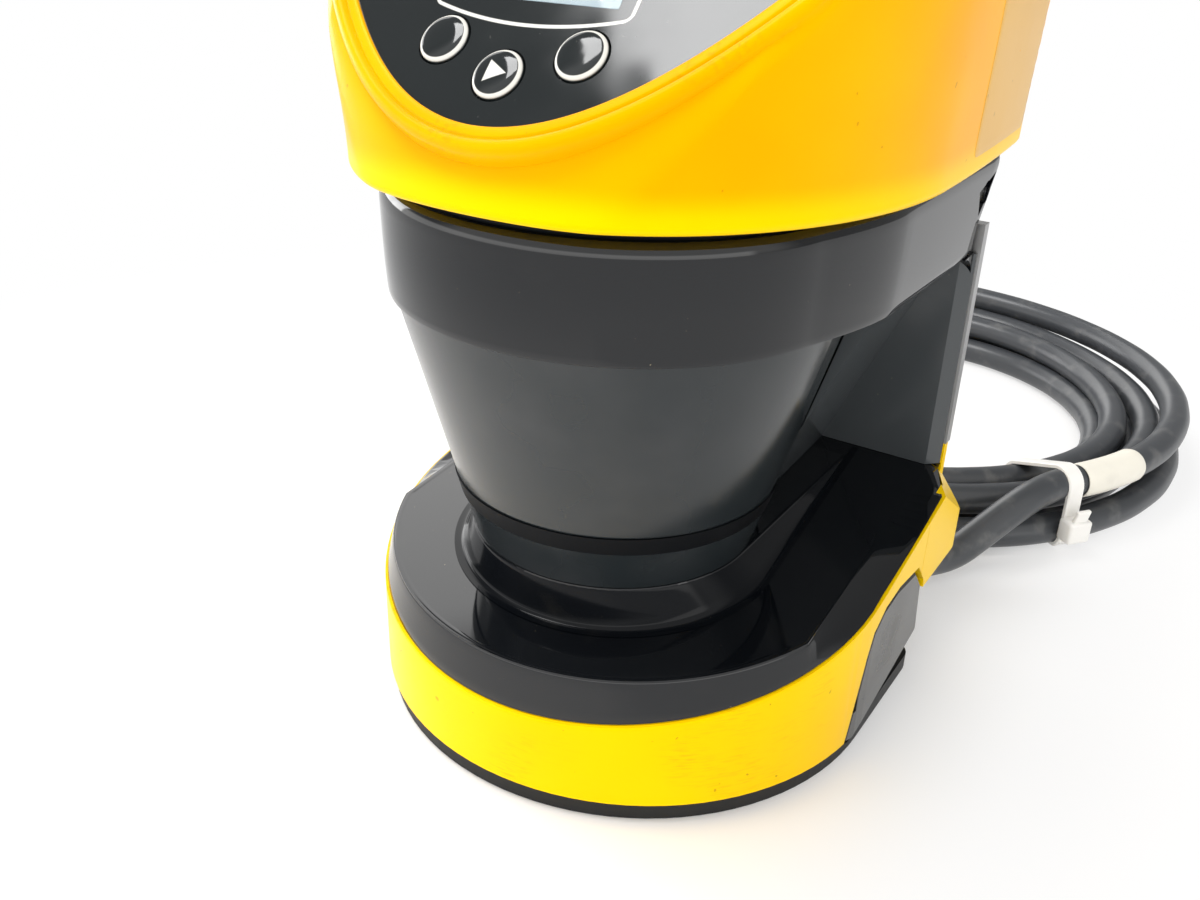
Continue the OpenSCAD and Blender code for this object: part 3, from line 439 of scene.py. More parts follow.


# %% [markdown]
# ## Dressing the CAD parts
# A imported part keeps its mesh and only its material slots change. The table below pairs each
# finish with the parts that wear it, so a finish is made once.

# %% Give each part its finish
# the head's yellow and its mottle are darker and more orange than the base's: painted shade
SHADED_HEAD_YELLOW, SHADED_HEAD_MOTTLE = (0.97, 0.45, 0.0), (0.93, 0.39, 0.0)
FINISHES = {
    # the head's paler band above its lower edge at 116 mm is painted light
    "head_yellow": (yellow_plastic("head_yellow", SHADED_HEAD_YELLOW, SHADED_HEAD_MOTTLE, 0.25, painted_light_edge=0.116), ["head_shell"]),
    "base_yellow": (yellow_plastic("base_yellow", (1.0, 0.64, 0.0), (0.97, 0.58, 0.0), 0.4,
                                   dirt=(0.55, 0.27, 0.01), streak=(0.3, 0.3, 3)),
                    ["base_band", "rear_cover"]),
    "label_film": (yellow_plastic("label_film", (0.74, 0.44, 0.11), (0.70, 0.40, 0.09), 0.1), ["rating_plate"]),
    "piano_black": (gloss_black("piano_black"), ["base_deck", "upper_housing"]),
    # the mound's copy of piano black has its reflection turned down, a painted shade
    "mound_shaded_black": (gloss_black("mound_shaded_black", 0.09, 1.0, gloss=0.14), []),
    "wall_black": (gloss_black("wall_black", 0.13, 0.6, (0.058, 0.064, 0.068)), ["rear_column"]),
    "cover_black": (gloss_black("cover_black", 0.22, 0.8, (0.030, 0.030, 0.028)),
                    ["side_cover_right", "side_cover_left"]),
    "panel_print": (printed_black("panel_print", display_frame, 0.06), ["panel_plate"]),
    "key_print": (printed_black("key_print", key_marks, 0.05), ["key_escape", "key_arrow", "key_enter"]),
    "window_filter": (smoked_window("window_filter"), ["window", "window_foot"]),
    "seal_rubber": (matt_plastic("seal_rubber", (0.0025, 0.003, 0.004), 0.5, gloss=0.15),
                    ["window_seal", "head_seal"]),
    "plate_black": (matt_plastic("plate_black", (0.010, 0.010, 0.010), 0.5, gloss=0.3), ["base_plate"]),
    "holder_black": (matt_plastic("holder_black", (0.03, 0.03, 0.032), 0.5), ["lens_holder", "mirror_carrier"]),
    "gland_black": (matt_plastic("gland_black", (0.02, 0.02, 0.02), 0.4), ["cable_gland"]),
    "jacket": (cable_jacket("jacket"), []),
    "tie_white": (white_nylon("tie_white", (0.86, 0.85, 0.82)), ["cable_tie"]),
    "sleeve_white": (white_nylon("sleeve_white", (0.80, 0.77, 0.68)), ["marker_sleeve"]),
    "plate_aluminium": (metal("plate_aluminium", (0.45, 0.45, 0.45), 0.4, (12, 1, 1)), ["back_plate"]),
    "bright_steel": (metal("bright_steel", (0.70, 0.70, 0.69), 0.25), ["base_screws", "rear_screws", "motor_shaft",
                                                                       "board_pillars"]),
    "motor_grey": (metal("motor_grey", (0.45, 0.45, 0.47), 0.4), ["motor_housing"]),
    "etched_disc": (metal("etched_disc", (0.6, 0.6, 0.62), 0.3, (1, 1, 1)), ["encoder_disc"]),
    "laser_brass": (metal("laser_brass", (0.78, 0.58, 0.26), 0.3), ["laser_module"]),
    "board_green": (circuit_board("board_green"), [
        "encoder_board", "receiver_board", "display_board", "main_board", "base_board"]),
    "lens_clear": (clear_glass("lens_clear", (0.85, 0.92, 0.94)), ["receiver_lens"]),
    "display_clear": (clear_glass("display_clear", (0.80, 0.88, 0.90)), ["lcd_lens"]),
    "display_pale": (white_nylon("display_pale", (0.20, 0.34, 0.42)), ["lcd_module"]),
    "mirror": (mirror_silver("mirror"), ["scan_mirror"]),
}
MATERIAL = {name: material for name, (material, _) in FINISHES.items()}


def wear(obj, finish):
    """Puts one finish on all of an object's material slots."""
    if not obj.material_slots:
        obj.data.materials.append(MATERIAL[finish])
    for place in obj.material_slots:
        place.material = MATERIAL[finish]


for finish, (_, nodes) in FINISHES.items():
    for node in nodes:
        wear(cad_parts[node], finish)
wear(lead, "jacket")
print("undressed parts:", sorted(set(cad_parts) - {n for _, ns in FINISHES.values() for n in ns}))

# %% [markdown]
# ## Smooth skins
# Polished plastic shows every facet, so the mouldings that shine are rebuilt as fine skins. A
# skin is a grid: rings of points, each with the same number. The same small function turns
# every grid in this lesson into a mesh, and marks edges sharper than a given angle.


# %% From rings of points to a smooth mesh
def add_piece(name, points, faces, sharp=35, body="scanner"):
    """A smooth mesh from points in millimetres, fixed to one body."""
    mesh = bpy.data.meshes.new(name)
    mesh.from_pydata((np.asarray(points, float) * MM).tolist(), [], faces)
    shaped = bmesh.new()
    shaped.from_mesh(mesh)
    bmesh.ops.remove_doubles(shaped, verts=shaped.verts, dist=0.004 * MM)
    bmesh.ops.recalc_face_normals(shaped, faces=shaped.faces)
    shaped.to_mesh(mesh)
    shaped.free()
    mesh.polygons.foreach_set("use_smooth", [True] * len(mesh.polygons))
    mesh.set_sharp_from_angle(angle=math.radians(sharp))
    piece = bpy.data.objects.new(name, mesh)
    bpy.context.scene.collection.objects.link(piece)
    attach(piece, body)
    return piece


def evenly_round(loop, count):
    """Points at even distances round a closed outline."""
    closed = np.vstack([loop, loop[:1]])
    walked = np.concatenate([[0], np.cumsum(np.hypot(*np.diff(closed, axis=0).T))])
    at = np.linspace(0, walked[-1], count, endpoint=False)
    return np.stack([np.interp(at, walked, closed[:, k]) for k in (0, 1)], -1)


def grid_faces(rows, columns, around=True, along=False):
    """Quads between neighbouring rings: around closes each ring, along joins the last to the first."""
    faces = []
    for i in range(rows if along else rows - 1):
        a, b = i * columns, (i + 1) % rows * columns
        for j in range(columns if around else columns - 1):
            k = (j + 1) % columns
            faces.append((a + j, a + k, b + k, b + j))
    return faces


def skin(name, rings, around=True, along=False, sharp=35, body="scanner"):
    rings = np.asarray(rings, float)
    rows, columns = rings.shape[:2]
    piece = add_piece(name, rings.reshape(-1, 3), grid_faces(rows, columns, around, along), sharp, body)
    print(f"{name}: {rows} rings of {columns} points")
    return piece


# %% [markdown]
# ## The panel's own frame
# Keys, display and rim all lie on the sloping panel, so they are described in its frame: x
# across, u up the slope, w out of it. Its outline is a parabola at the bottom, which runs into
# two round corners and a straight top. Offsetting it along its normals gives the rim.

# %% The panel's frame and outline
PANEL_FOOT = np.array([0, -56.0, 128.0])
PANEL_TILT = math.radians(48)
UP_SLOPE = np.array([0, math.cos(PANEL_TILT), math.sin(PANEL_TILT)])
OUT_OF_PANEL = np.array([0, -math.sin(PANEL_TILT), math.cos(PANEL_TILT)])
PANEL_OPENS = 0.0165                   # how quickly the lower edge opens
PANEL_LENGTH, CORNER_R = 40.0, 8.0
TURN_X = 40.7                          # where the parabola meets the corner's arc
HEAD_COLUMNS = 400


def on_panel(x, u, w):
    """Points in the design frame from places on the panel."""
    x, u, w = np.broadcast_arrays(np.asarray(x, float), u, w)
    return PANEL_FOOT + x[..., None] * [1, 0, 0] + u[..., None] * UP_SLOPE + w[..., None] * OUT_OF_PANEL


def panel_outline(count):
    """Places round the panel's edge, evenly spaced, and the outward direction at each."""
    half = [(x, PANEL_OPENS * x * x) for x in np.linspace(0, TURN_X, 200)]
    slope = 2 * PANEL_OPENS * TURN_X
    hub = np.array(half[-1]) - CORNER_R * np.array([slope, -1]) / math.hypot(slope, 1)
    start = math.atan2(-1, slope)
    hub[1] = PANEL_LENGTH - CORNER_R
    half += [tuple(hub + CORNER_R * np.array([math.cos(a), math.sin(a)]))
             for a in np.linspace(start, math.pi / 2, 60)[1:]]
    half += [(x, PANEL_LENGTH) for x in np.linspace(hub[0], 0, 60)[1:]]
    loop = np.array(half + [(-x, u) for x, u in half[-2:0:-1]])
    edge = evenly_round(loop, count)
    along = np.roll(edge, -1, 0) - np.roll(edge, 1, 0)
    for _ in range(6):                                    # even out the directions at the corners
        along = (np.roll(along, 1, 0) + 2 * along + np.roll(along, -1, 0)) / 4
    along /= np.linalg.norm(along, axis=1)[:, None]
    return edge, np.stack([along[:, 1], -along[:, 0]], -1)


EDGE, OUTWARD = panel_outline(HEAD_COLUMNS)
print("the panel is", round(2 * EDGE[:, 0].max(), 1), "mm wide")

# %% [markdown]
# ## The head's form
# The body of the head is easiest to say as a distance: how far a point lies outside the wall,
# the front slope, the dome and the lower edge. Each is a simple surface, and each pair meets
# in an edge with its own radius. The shoulder beside the rim is roundest at the front.


# %% How far a point lies outside the head
HEAD_LOW, HEAD_TOP = 115.2, 165.0
HALF_WIDTH, FRONT, REAR = 53.5, 62.0, 62.0
WIDEST_AT = 3.0                        # depth of the widest place
WALL_T = 2.6


def round_meet(a, b, r):
    """Inside both a and b, their edge rounded to r."""
    return np.minimum(np.maximum(a, b), -r) + np.hypot(np.maximum(a + r, 0), np.maximum(b + r, 0))


def head_wall(x, y, z):
    rise = z - HEAD_LOW
    flare = 1.4 + 0.9 * ease(rise / 34)
    half, front, rear = HALF_WIDTH + flare, FRONT + flare - 1.45 + WIDEST_AT, REAR + flare - 2.3
    v = y - WIDEST_AT
    scale = np.sqrt(half * front)
    power = 2 + 0.2 * ease(rise / 36)
    ahead = ((np.abs(x / half) ** power + np.abs(v / front) ** power) ** (1 / power) - 1) * scale
    beside = (np.abs(x) / (half - 2 * (np.maximum(v, 0) / 52) ** 2) - 1) * scale
    return np.where(v < 0, ahead, round_meet(beside, y - rear, 7))


def outside_head(points):
    x, y, z = np.moveaxis(np.asarray(points, float), -1, 0)
    height = (np.asarray(points) - PANEL_FOOT) @ OUT_OF_PANEL
    shoulder = 2.0 + 10 * np.clip(1 - (x / 40) ** 2, 0, 1)
    body = round_meet(head_wall(x, y, z), height + 0.4, shoulder)
    body = round_meet(body, z - HEAD_TOP, 12)
    return round_meet(body, HEAD_LOW - z, 1.6)


def meet_skin(start, way, reach, depth=0.0):
    """Where rays from inside the head come out through the surface at a depth below its skin."""
    low, high = np.zeros(way.shape[:-1]), np.full(way.shape[:-1], float(reach))
    for _ in range(34):
        middle = (low + high) / 2
        out = outside_head(start + way * middle[..., None]) + depth > 0
        high, low = np.where(out, middle, high), np.where(out, low, middle)
    return start + way * low[..., None]


# %% [markdown]
# ## The head's skin
# The grid's columns run from the panel's edge, over the rim and down to the lower edge, then
# back up inside the wall. The rim has a drawn profile: a flat strip beside the panel, a fine
# groove, and a rounded bead. Beyond it, rays from a point inside find the surface.

# %% Build the head
# distance from the panel's edge, and height above the panel
RIM = [(0, -2.0), (0, 0.3), (0.08, 0.52), (0.28, 0.62), (0.9, 0.66), (1.6, 0.68), (1.86, 0.62), (1.98, 0.44),
       (2.1, 0.42), (2.24, 0.6), (2.5, 0.9), (2.9, 1.1), (3.3, 1.16), (3.7, 1.08), (4.05, 0.88), (4.35, 0.58),
       (4.58, 0.2), (4.72, -0.25)]
RIM_FOOT = 4.8
SKIN_ROWS = 84


def rim_ring(s, w):
    place = EDGE + OUTWARD * s
    return on_panel(place[:, 0], place[:, 1], w)


def lower_edge(inset):
    """The head's lower edge, drawn in, with one point for each column."""
    turn = np.arctan2(EDGE[:, 1] - 20, EDGE[:, 0])
    way = np.stack([np.cos(turn), np.sin(turn), 0 * turn], -1)
    low, high = np.zeros(len(turn)), np.full(len(turn), 120.0)
    for _ in range(34):
        middle = (low + high) / 2
        p = np.array([0, WIDEST_AT, HEAD_LOW + 0.001]) + way * middle[:, None]
        out = head_wall(*p.T) + inset > 0
        high, low = np.where(out, middle, high), np.where(out, low, middle)
    return np.array([0, WIDEST_AT, HEAD_LOW]) + way * low[:, None]


def sweep(start, first, last, count, depth=0.0):
    """Rings over the skin, from one ring of directions to another, denser towards both ends."""
    def between(t):
        way = first * (1 - t)[..., None] + last * t[..., None]
        return way / np.linalg.norm(way, axis=-1)[..., None]
    t = np.linspace(0, 1, 300)[:, None] * np.ones(len(first))
    path = meet_skin(start, between(t), 140, depth)
    walked = np.concatenate([np.zeros((1, len(first))), np.cumsum(
        np.linalg.norm(np.diff(path, axis=0), axis=-1), axis=0)])
    share = np.linspace(0, 1, count)
    share = share - 0.55 * np.sin(2 * math.pi * share) / (2 * math.pi)
    picked = np.stack([np.interp(share * walked[-1, j], walked[:, j], t[:, j]) for j in range(len(first))], -1)
    return meet_skin(start, between(picked), 140, depth)


def directions(ring, start):
    way = ring - start
    return way / np.linalg.norm(way, axis=-1)[:, None]


inside = on_panel(0, 22, -30)
foot_top, foot_low = rim_ring(RIM_FOOT, 3.0), rim_ring(RIM_FOOT, -16.0)
for _ in range(34):                                       # where the rim's foot meets the body
    middle = (foot_top + foot_low) / 2
    out = (outside_head(middle) > 0)[:, None]
    foot_top, foot_low = np.where(out, middle, foot_top), np.where(out, foot_low, middle)
outer = sweep(inside, directions(foot_low, inside), directions(lower_edge(3.0), inside), SKIN_ROWS)
inner_low, inner_high = lower_edge(4.0 + 0.9), rim_ring(-4.0, -4.6)
inner = sweep(inside, directions(inner_high, inside), directions(inner_low, inside), 24, WALL_T)
rings = [rim_ring(-4.0, -2.0)] + [rim_ring(s, w) for s, w in RIM] + list(outer)
rings += [inner_low] + list(inner[::-1][1:-4]) + [inner_high]
head = skin("head", rings, along=True, sharp=50)
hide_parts("head_shell")
wear(head, "head_yellow")

# %% [markdown]
# ## Rating label
# The label is a bare film, a tenth of a millimetre thick, that follows the head's side. Its
# rings shrink from the rounded edge to the middle, and each point is pushed out to the skin.

# %% Lay the label on the head
LABEL_Y, LABEL_Z = (16.0, 54.0), (119.0, 152.0)


def rounded_rectangle(width, depth, r, count=40):
    """Points round a rectangle with round corners, centred."""
    corners = []
    for i, (sx, sy) in enumerate(((1, 1), (-1, 1), (-1, -1), (1, -1))):
        for a in np.radians(np.linspace(90 * i, 90 * i + 90, 9)):
            corners.append((sx * (width / 2 - r) + r * math.cos(a), sy * (depth / 2 - r) + r * math.sin(a)))
    return evenly_round(np.array(corners), 4 * count)


def label_ring(scale, proud):
    place = rounded_rectangle(LABEL_Y[1] - LABEL_Y[0], LABEL_Z[1] - LABEL_Z[0], 1.6) * scale
    y, z = place[:, 0] + sum(LABEL_Y) / 2, place[:, 1] + sum(LABEL_Z) / 2
    start = np.stack([0 * y + 20, y, z], -1)
    return meet_skin(start, np.broadcast_to([1.0, 0, 0], start.shape), 60, -proud)


label = skin("label", [label_ring(s, p) for s, p in (
    (1.002, -0.15), (1.0, 0.07), (0.996, 0.1), (0.9, 0.1), (0.75, 0.1), (0.6, 0.1), (0.45, 0.1), (0.3, 0.1),
    (0.15, 0.1), (0.01, 0.1))])
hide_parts("rating_plate")
wear(label, "label_film")

# %% [markdown]
# ## Keys
# Each key is a low clear dome over a printed disc. It is a profile turned about its own axis,
# with the flange behind the panel that keeps it in. A key rides on its own body, so it moves
# when its joint moves.

# %% Turn the keys
# radius, and height above the panel
KEY_PROFILE = [(0.01, 1.02), (1.2, 1.01), (2.3, 0.96), (3.1, 0.86), (3.6, 0.74), (3.95, 0.58), (4.2, 0.36),
               (4.34, 0.12), (4.4, -0.2), (4.4, -2.2), (5.2, -2.2), (5.2, -3.2), (0.01, -3.2)]
KEYS = {"escape": (-12.9, 13.9), "arrow": (0.0, 9.0), "enter": (12.9, 13.9)}


def turned(profile, count=72):
    """Rings of a turned form about its own upright axis."""
    turn = np.linspace(0, 2 * math.pi, count, endpoint=False)
    return np.stack([np.stack([r * np.cos(turn), r * np.sin(turn), 0 * turn + z], -1) for r, z in profile])


for key, (x, u) in KEYS.items():
    local = turned(KEY_PROFILE)
    rings = on_panel(local[..., 0] + x, local[..., 1] + u, local[..., 2])
    cap = skin(f"cap_{key}", rings, body=f"{key}_key", sharp=50)
    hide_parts(f"key_{key}")
    wear(cap, "key_print")

# %% [markdown]
# ## Upper housing
# The collar is round about the scan axis and runs into flat sides through a soft crease. Its
# rings rise from the lower edge, over the rounded lip and down the bore. The three-cornered
# recesses at the rear are cut afterwards with a boolean, as a mould would form them.

# %% Build the housing
SCAN_Y = -11.0
COLLAR_R, SIDE_X = 45.4, 49.5
SLANT_FROM, REAR_Y = 98.5, 51.0


def mirrored_loop(right):
    """A closed outline from its right half, which starts at the front middle and ends at the rear."""
    right = np.asarray(right, float)
    return np.vstack([right, right[::-1][1:-1] * [-1, 1]])


def curve_over(a, corner, b, count):
    """A quadratic curve from a to b that turns at a corner."""
    t = np.linspace(0, 1, count)[:, None]
    a, corner, b = (np.asarray(p, float) for p in (a, corner, b))
    return (1 - t) ** 2 * a + 2 * t * (1 - t) * corner + t * t * b


def housing_ring(inset, z):
    rear = REAR_Y + max(0, z - SLANT_FROM) * 10.5 / 16.5
    r, w = COLLAR_R - inset, SIDE_X - inset
    turn = np.radians(np.linspace(-90, -14, 64))
    right = [(r * math.cos(a), SCAN_Y + r * math.sin(a)) for a in turn]
    right[0] = (0, right[0][1])
    right += list(curve_over(right[-1], (w - 0.3, SCAN_Y + 4.5), (w, SCAN_Y + 13), 14)[1:])
    right += [(w, y) for y in np.linspace(SCAN_Y + 13, rear - 2.5, 16)[1:]]
    right += [(w - 2.5 + 2.5 * math.cos(a), rear - 2.5 + 2.5 * math.sin(a))
              for a in np.radians(np.linspace(0, 90, 7))[1:]]
    right += [(x, rear) for x in np.linspace(w - 2.5, 0, 8)[1:]]
    loop = mirrored_loop(right)
    return np.column_stack([loop, np.full(len(loop), z)])


def bore_ring(like, r, z):
    """A circle about the scan axis with one point for each point of another ring."""
    way = like[:, :2] - [0, SCAN_Y]
    way /= np.linalg.norm(way, axis=1)[:, None]
    return np.column_stack([way * r + [0, SCAN_Y], np.full(len(way), z)])


# inset from the widest line, and height
HOUSING_SIDE = [(1.5, 92.4), (1.15, 92.43), (0.9, 92.6), (0.78, 92.9), (0.68, 94), (0.4, 98.5), (0.2, 103.5),
                (0.04, 109.2), (0.03, 109.9), (0.1, 110.7), (0.26, 111.4), (0.52, 112.0), (0.86, 112.5),
                (1.25, 112.84), (1.75, 113)]
rings = [housing_ring(inset, z) for inset, z in HOUSING_SIDE]
rings += [bore_ring(rings[0], r, z) for r, z in ((38.2, 113), (38, 112.8), (38, 94.5), (34, 94.5), (34, 92.4))]
housing = skin("housing", rings, along=True, sharp=40)
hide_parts("upper_housing")

# the seal is a bead between the lip and the head's lower edge: inset and height
BEAD = [(2.6, 112.6), (2.0, 113.1), (1.8, 113.8), (2.1, 114.6), (2.8, 115.5)]
beads = [housing_ring(inset, z) for inset, z in BEAD]
seal = skin("neck_seal", beads + [bore_ring(beads[0], 38.3, z) for z in (115.5, 112.6)], along=True, sharp=50)
wear(seal, "seal_rubber")
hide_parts("head_seal")


def prism(outline, low, high):
    """Points and faces of a straight bar from side to side, with its outline in depth and height."""
    count = len(outline)
    points = [(x, y, z) for x in (low, high) for y, z in outline]
    faces = [tuple(range(count))[::-1], tuple(range(count, 2 * count))]
    faces += [(i, (i + 1) % count, count + (i + 1) % count, count + i) for i in range(count)]
    return points, faces


def cut(piece, cutters):
    """Takes bars away from a piece."""
    made = []
    for points, faces in cutters:
        mesh = bpy.data.meshes.new("cutter")
        mesh.from_pydata([tuple(v * MM for v in p) for p in points], [], faces)
        tidy = bmesh.new()
        tidy.from_mesh(mesh)
        bmesh.ops.recalc_face_normals(tidy, faces=tidy.faces)
        tidy.to_mesh(mesh)
        tidy.free()
        made.append(bpy.data.objects.new("cutter", mesh))
        bpy.context.scene.collection.objects.link(made[-1])
        step = piece.modifiers.new("cut", "BOOLEAN")
        step.object, step.operation, step.solver = made[-1], "DIFFERENCE", "EXACT"
    bpy.context.view_layer.update()
    result = bpy.data.meshes.new_from_object(piece.evaluated_get(bpy.context.evaluated_depsgraph_get()))
    piece.modifiers.clear()
    piece.data = result
    result.set_sharp_from_angle(angle=math.radians(30))
    for cutter in made:
        bpy.data.objects.remove(cutter)


RECESS = [(48, 101), (55.7, 109.2), (45.5, 106.5)]
SCREW_YZ = (50.4, 105.6)


def circle(centre, r, count=32):
    return [(centre[0] + r * math.cos(2 * math.pi * i / count), centre[1] + r * math.sin(2 * math.pi * i / count))
            for i in range(count)]


cutters = []
for side in (-1, 1):
    cutters.append(prism(RECESS, side * 46.5, side * 60))
    cutters.append(prism(circle(SCREW_YZ, 2.4), side * 46.6, side * 60))
    cutters.append(prism(circle(SCREW_YZ, 1.3), side * 37.5, side * 47))
cut(housing, cutters)
wear(housing, "piano_black")
print("housing faces after the cuts:", len(housing.data.polygons))

# %% [markdown]
# ## Gussets
# Under the housing's rear corners a thin web with a hollow curve runs into the rear wall. It
# stays out of the CAD model, where it would stand in the scan field's corner.

# %% Make the gussets
hollow = [(44.7 + 6.5 * math.cos(a), 85.7 + 6.5 * math.sin(a)) for a in np.radians(np.linspace(90, 0, 14))]
for side in (-1, 1):
    points, faces = prism(hollow + [(51.2, 92.6)], side * 46.2, side * 49.0)
    web = add_piece("gusset_right" if side > 0 else "gusset_left", points, faces, sharp=25)
    wear(web, "piano_black")

# %% [markdown]
# ## Edges of the deck, the mound and the band
# The deck is a mirror with softened edges, and those edges are what the eye finds first. Thin
# skins a few hundredths of a millimetre proud of the CAD parts round them off: one over the
# chamfer, one over the mound and its foot, and one over the band's round front.

# %% Skin the edges
DECK_Z, DECK_SLOPE, BAND_Z, BAND_SLOPE = 36.7, 0.11, 33.8, 0.23
EDGE_R, CREASE = 53.9, math.radians(23)
SIDE_END = 35.2


def half_chamfer():
    """The right half of the chamfer: upper edge, lower edge and inward direction, from front to rear."""
    upper, lower, inward = [], [], []
    for a in np.linspace(-math.pi / 2, -CREASE, 70):
        upper.append((EDGE_R * math.cos(a), EDGE_R * math.sin(a)))
        lower.append((55.5 * math.cos(a), 55.5 * math.sin(a)))
        inward.append((-math.cos(a), -math.sin(a)))
    crease_x, crease_y = upper[-1]
    for y in np.linspace(crease_y, SIDE_END, 40)[1:]:
        t = (y - crease_y) / (52.4 - crease_y)
        upper.append((crease_x + (47.5 - crease_x) * t + 0.2 * math.sin(math.pi * t), y))
        turn = math.asin(max(-1, min(0, y / EDGE_R)))
        past = max(0, y) / 35.6
        lower.append((55.5 * math.cos(turn), 55.5 * math.sin(turn)) if y < 0
                     else (55.3 + 0.2 * math.sin(math.pi * past), y))
        inward.append((-1, 0))
    return (np.array(part) for part in (upper, lower, inward))


def both_sides(half):
    """A row of points from rear left to rear right, from its right half, front to rear."""
    return np.vstack([half[::-1] * [-1, 1, 1], half[1:]])


upper, lower, inward = half_chamfer()
U = np.column_stack([upper, DECK_Z + DECK_SLOPE * upper[:, 1]])
L = np.column_stack([lower, BAND_Z + 0.3 + BAND_SLOPE * lower[:, 1]])
IN = np.column_stack([inward, DECK_SLOPE * inward[:, 1]])
face = (U - L) / np.linalg.norm(U - L, axis=1)[:, None]
out_of_face = np.cross(np.gradient(U, axis=0), face)
out_of_face /= np.linalg.norm(out_of_face, axis=1)[:, None]
out_of_face *= np.sign((out_of_face * -IN).sum(1))[:, None]
PROUD = 0.05
rows = [L + IN * 0.7 - [0, 0, 0.08], L + IN * 0.35 + [0, 0, 0.02]]
rows += [(1 - t) ** 2 * (L + IN * 0.35) + 2 * t * (1 - t) * L + t * t * (L + face * 0.35) + out_of_face * PROUD * t
         for t in (0.3, 0.6, 1.0)]
span = np.linalg.norm(U - L, axis=1)[:, None]
rows += [L + face * (0.35 + (span - 1.0) * t) + out_of_face * PROUD for t in (0.2, 0.4, 0.6, 0.8, 1.0)]
rows += [(1 - t) ** 2 * (U - face * 0.65) + 2 * t * (1 - t) * U + t * t * (U + IN * 0.65)
         + out_of_face * PROUD * (1 - t) + [0, 0, 0.04 * t] for t in (0.15, 0.3, 0.45, 0.6, 0.75, 0.9, 1.0)]
rows += [U + IN * 1.2 + [0, 0, 0.01], U + IN * 1.6 - [0, 0, 0.05]]
chamfer = skin("deck_chamfer", [both_sides(row) for row in rows], around=False)


def mound_place(a, y, drop, out=0.0, up=0.0):
    """A point of the mound's side: by angle round the front, or by depth along the flank."""
    g = 0.7 * drop
    r = 29.6 + g + out
    if y is None:
        return r * math.cos(a), SCAN_Y + g + r * math.sin(a), 41.5 - drop + up
    return r, y, 41.5 - drop + up


def mound_columns():
    """For each column: its angle or depth, and how far down the deck lies."""
    for a in np.linspace(-math.pi / 2, 0, 60):
        g = (6.01 - 3.256 * math.sin(a)) / (1.5386 + 0.11 * math.sin(a))
        yield a, None, g / 0.7
    for y in np.linspace(2, 48.2, 24):
        yield 0, y, 4.8 - 0.11 * y


rows = []
for share, out, up in ((1, 2.2, -0.05), (1, 1.5, 0.03), (0.995, 1.0, 0.04), (0.985, 0.62, 0.08), (0.96, 0.34, 0.1),
                       (0.92, 0.16, 0.08), (0.86, 0.06, 0), (0.7, 0.05, 0), (0.5, 0.05, 0), (0.3, 0.05, 0),
                       (0.12, 0.05, 0), (0.05, 0.02, 0), (0.015, -0.06, 0.02), (0, -0.25, 0.04), (0, -0.6, 0.02)):
    rows.append(both_sides(np.array([mound_place(a, y, drop * share, out, up) for a, y, drop in mound_columns()])))
mound = skin("mound_side", rows, around=False)

turn = np.linspace(-math.pi / 2, -math.asin(8.7 / 56), 80)
rows = []
for r, z, from_top in ((55.3, 3.95, 0), (55.8, 4.02, 0), (56.04, 4.35, 0),
                       (56.05, 8, 0), (56.05, 12, 0), (56.05, 16, 0),
                       (56.05, 0.9, 1), (56.04, 0.35, 1), (55.97, 0.12, 1), (55.8, 0.0, 1), (55.5, -0.03, 1),
                       (55.0, 0.06, 1)):
    y = r * np.sin(turn)
    height = BAND_Z + BAND_SLOPE * y - z if from_top else 0 * y + z
    fade = np.clip((turn[-1] - turn) / 0.02, 0, 1)
    rows.append(both_sides(np.column_stack([(r - 0.09 * (1 - fade)) * np.cos(turn), y, height])))
band = skin("band_front", rows, around=False)

for piece, slot_name, finish in ((chamfer, "black_gloss", "piano_black"), (mound, "black_gloss", "mound_shaded_black"),
                                 (band, "yellow_base", "base_yellow")):
    wear(piece, finish)

# %% [markdown]
# ## Tie and marker sleeve
# The tie is a strap drawn tight round the bundle: in its own plane it follows the convex hull
# of the turns it holds. The marker sleeve is a blank tube that bends with the lead. Both are
# named with the lead when it is declared, so its length check leaves them out.

# %% Fit the tie and the sleeve
STRAP_W, STRAP_T = 4.8, 1.1


def strap_path(gap=0.15, count=120):
    """The hull of the bundle's section, as radius and height, evenly spaced and lightly eased."""
    turn = np.linspace(0, 2 * math.pi, 90, endpoint=False)
    dots = sorted({(round(r + (LEAD_D / 2 + gap) * math.cos(a), 4),
                    round(max(z + (LEAD_D / 2 + gap) * math.sin(a), STRAP_T), 4)) for r, z in TURNS for a in turn})

    def chain(dots):
        kept = []
        for p in dots:
            while len(kept) > 1 and ((kept[-1][0] - kept[-2][0]) * (p[1] - kept[-2][1])
                                     - (kept[-1][1] - kept[-2][1]) * (p[0] - kept[-2][0])) <= 0:
                kept.pop()
            kept.append(p)
        return kept

    return evenly_round(np.array(chain(dots)[:-1] + chain(dots[::-1])[:-1]), count)


def at_tie(r, across, z):
    """A point in the tie's plane: radius, distance across the strap, height."""
    a = math.radians(TIE_ANGLE)
    return (COIL_AT.x + r * math.cos(a) - across * math.sin(a),
            COIL_AT.y + r * math.sin(a) + across * math.cos(a), z)


path = strap_path()
along = np.roll(path, -1, 0) - np.roll(path, 1, 0)
along /= np.linalg.norm(along, axis=1)[:, None]
outward = np.stack([along[:, 1], -along[:, 0]], -1)
section = [(-STRAP_W / 2, 0.0), (-STRAP_W / 2, 0.8), (-STRAP_W / 2 + 0.3, STRAP_T), (STRAP_W / 2 - 0.3, STRAP_T),
           (STRAP_W / 2, 0.8), (STRAP_W / 2, 0.0)]
rings = []
for p, n in zip(path, outward):
    rings.append([at_tie((p + n * thick)[0], across, max((p + n * thick)[1], 0.02)) for across, thick in section])
strap = skin("tie_strap", rings, along=True, sharp=40)


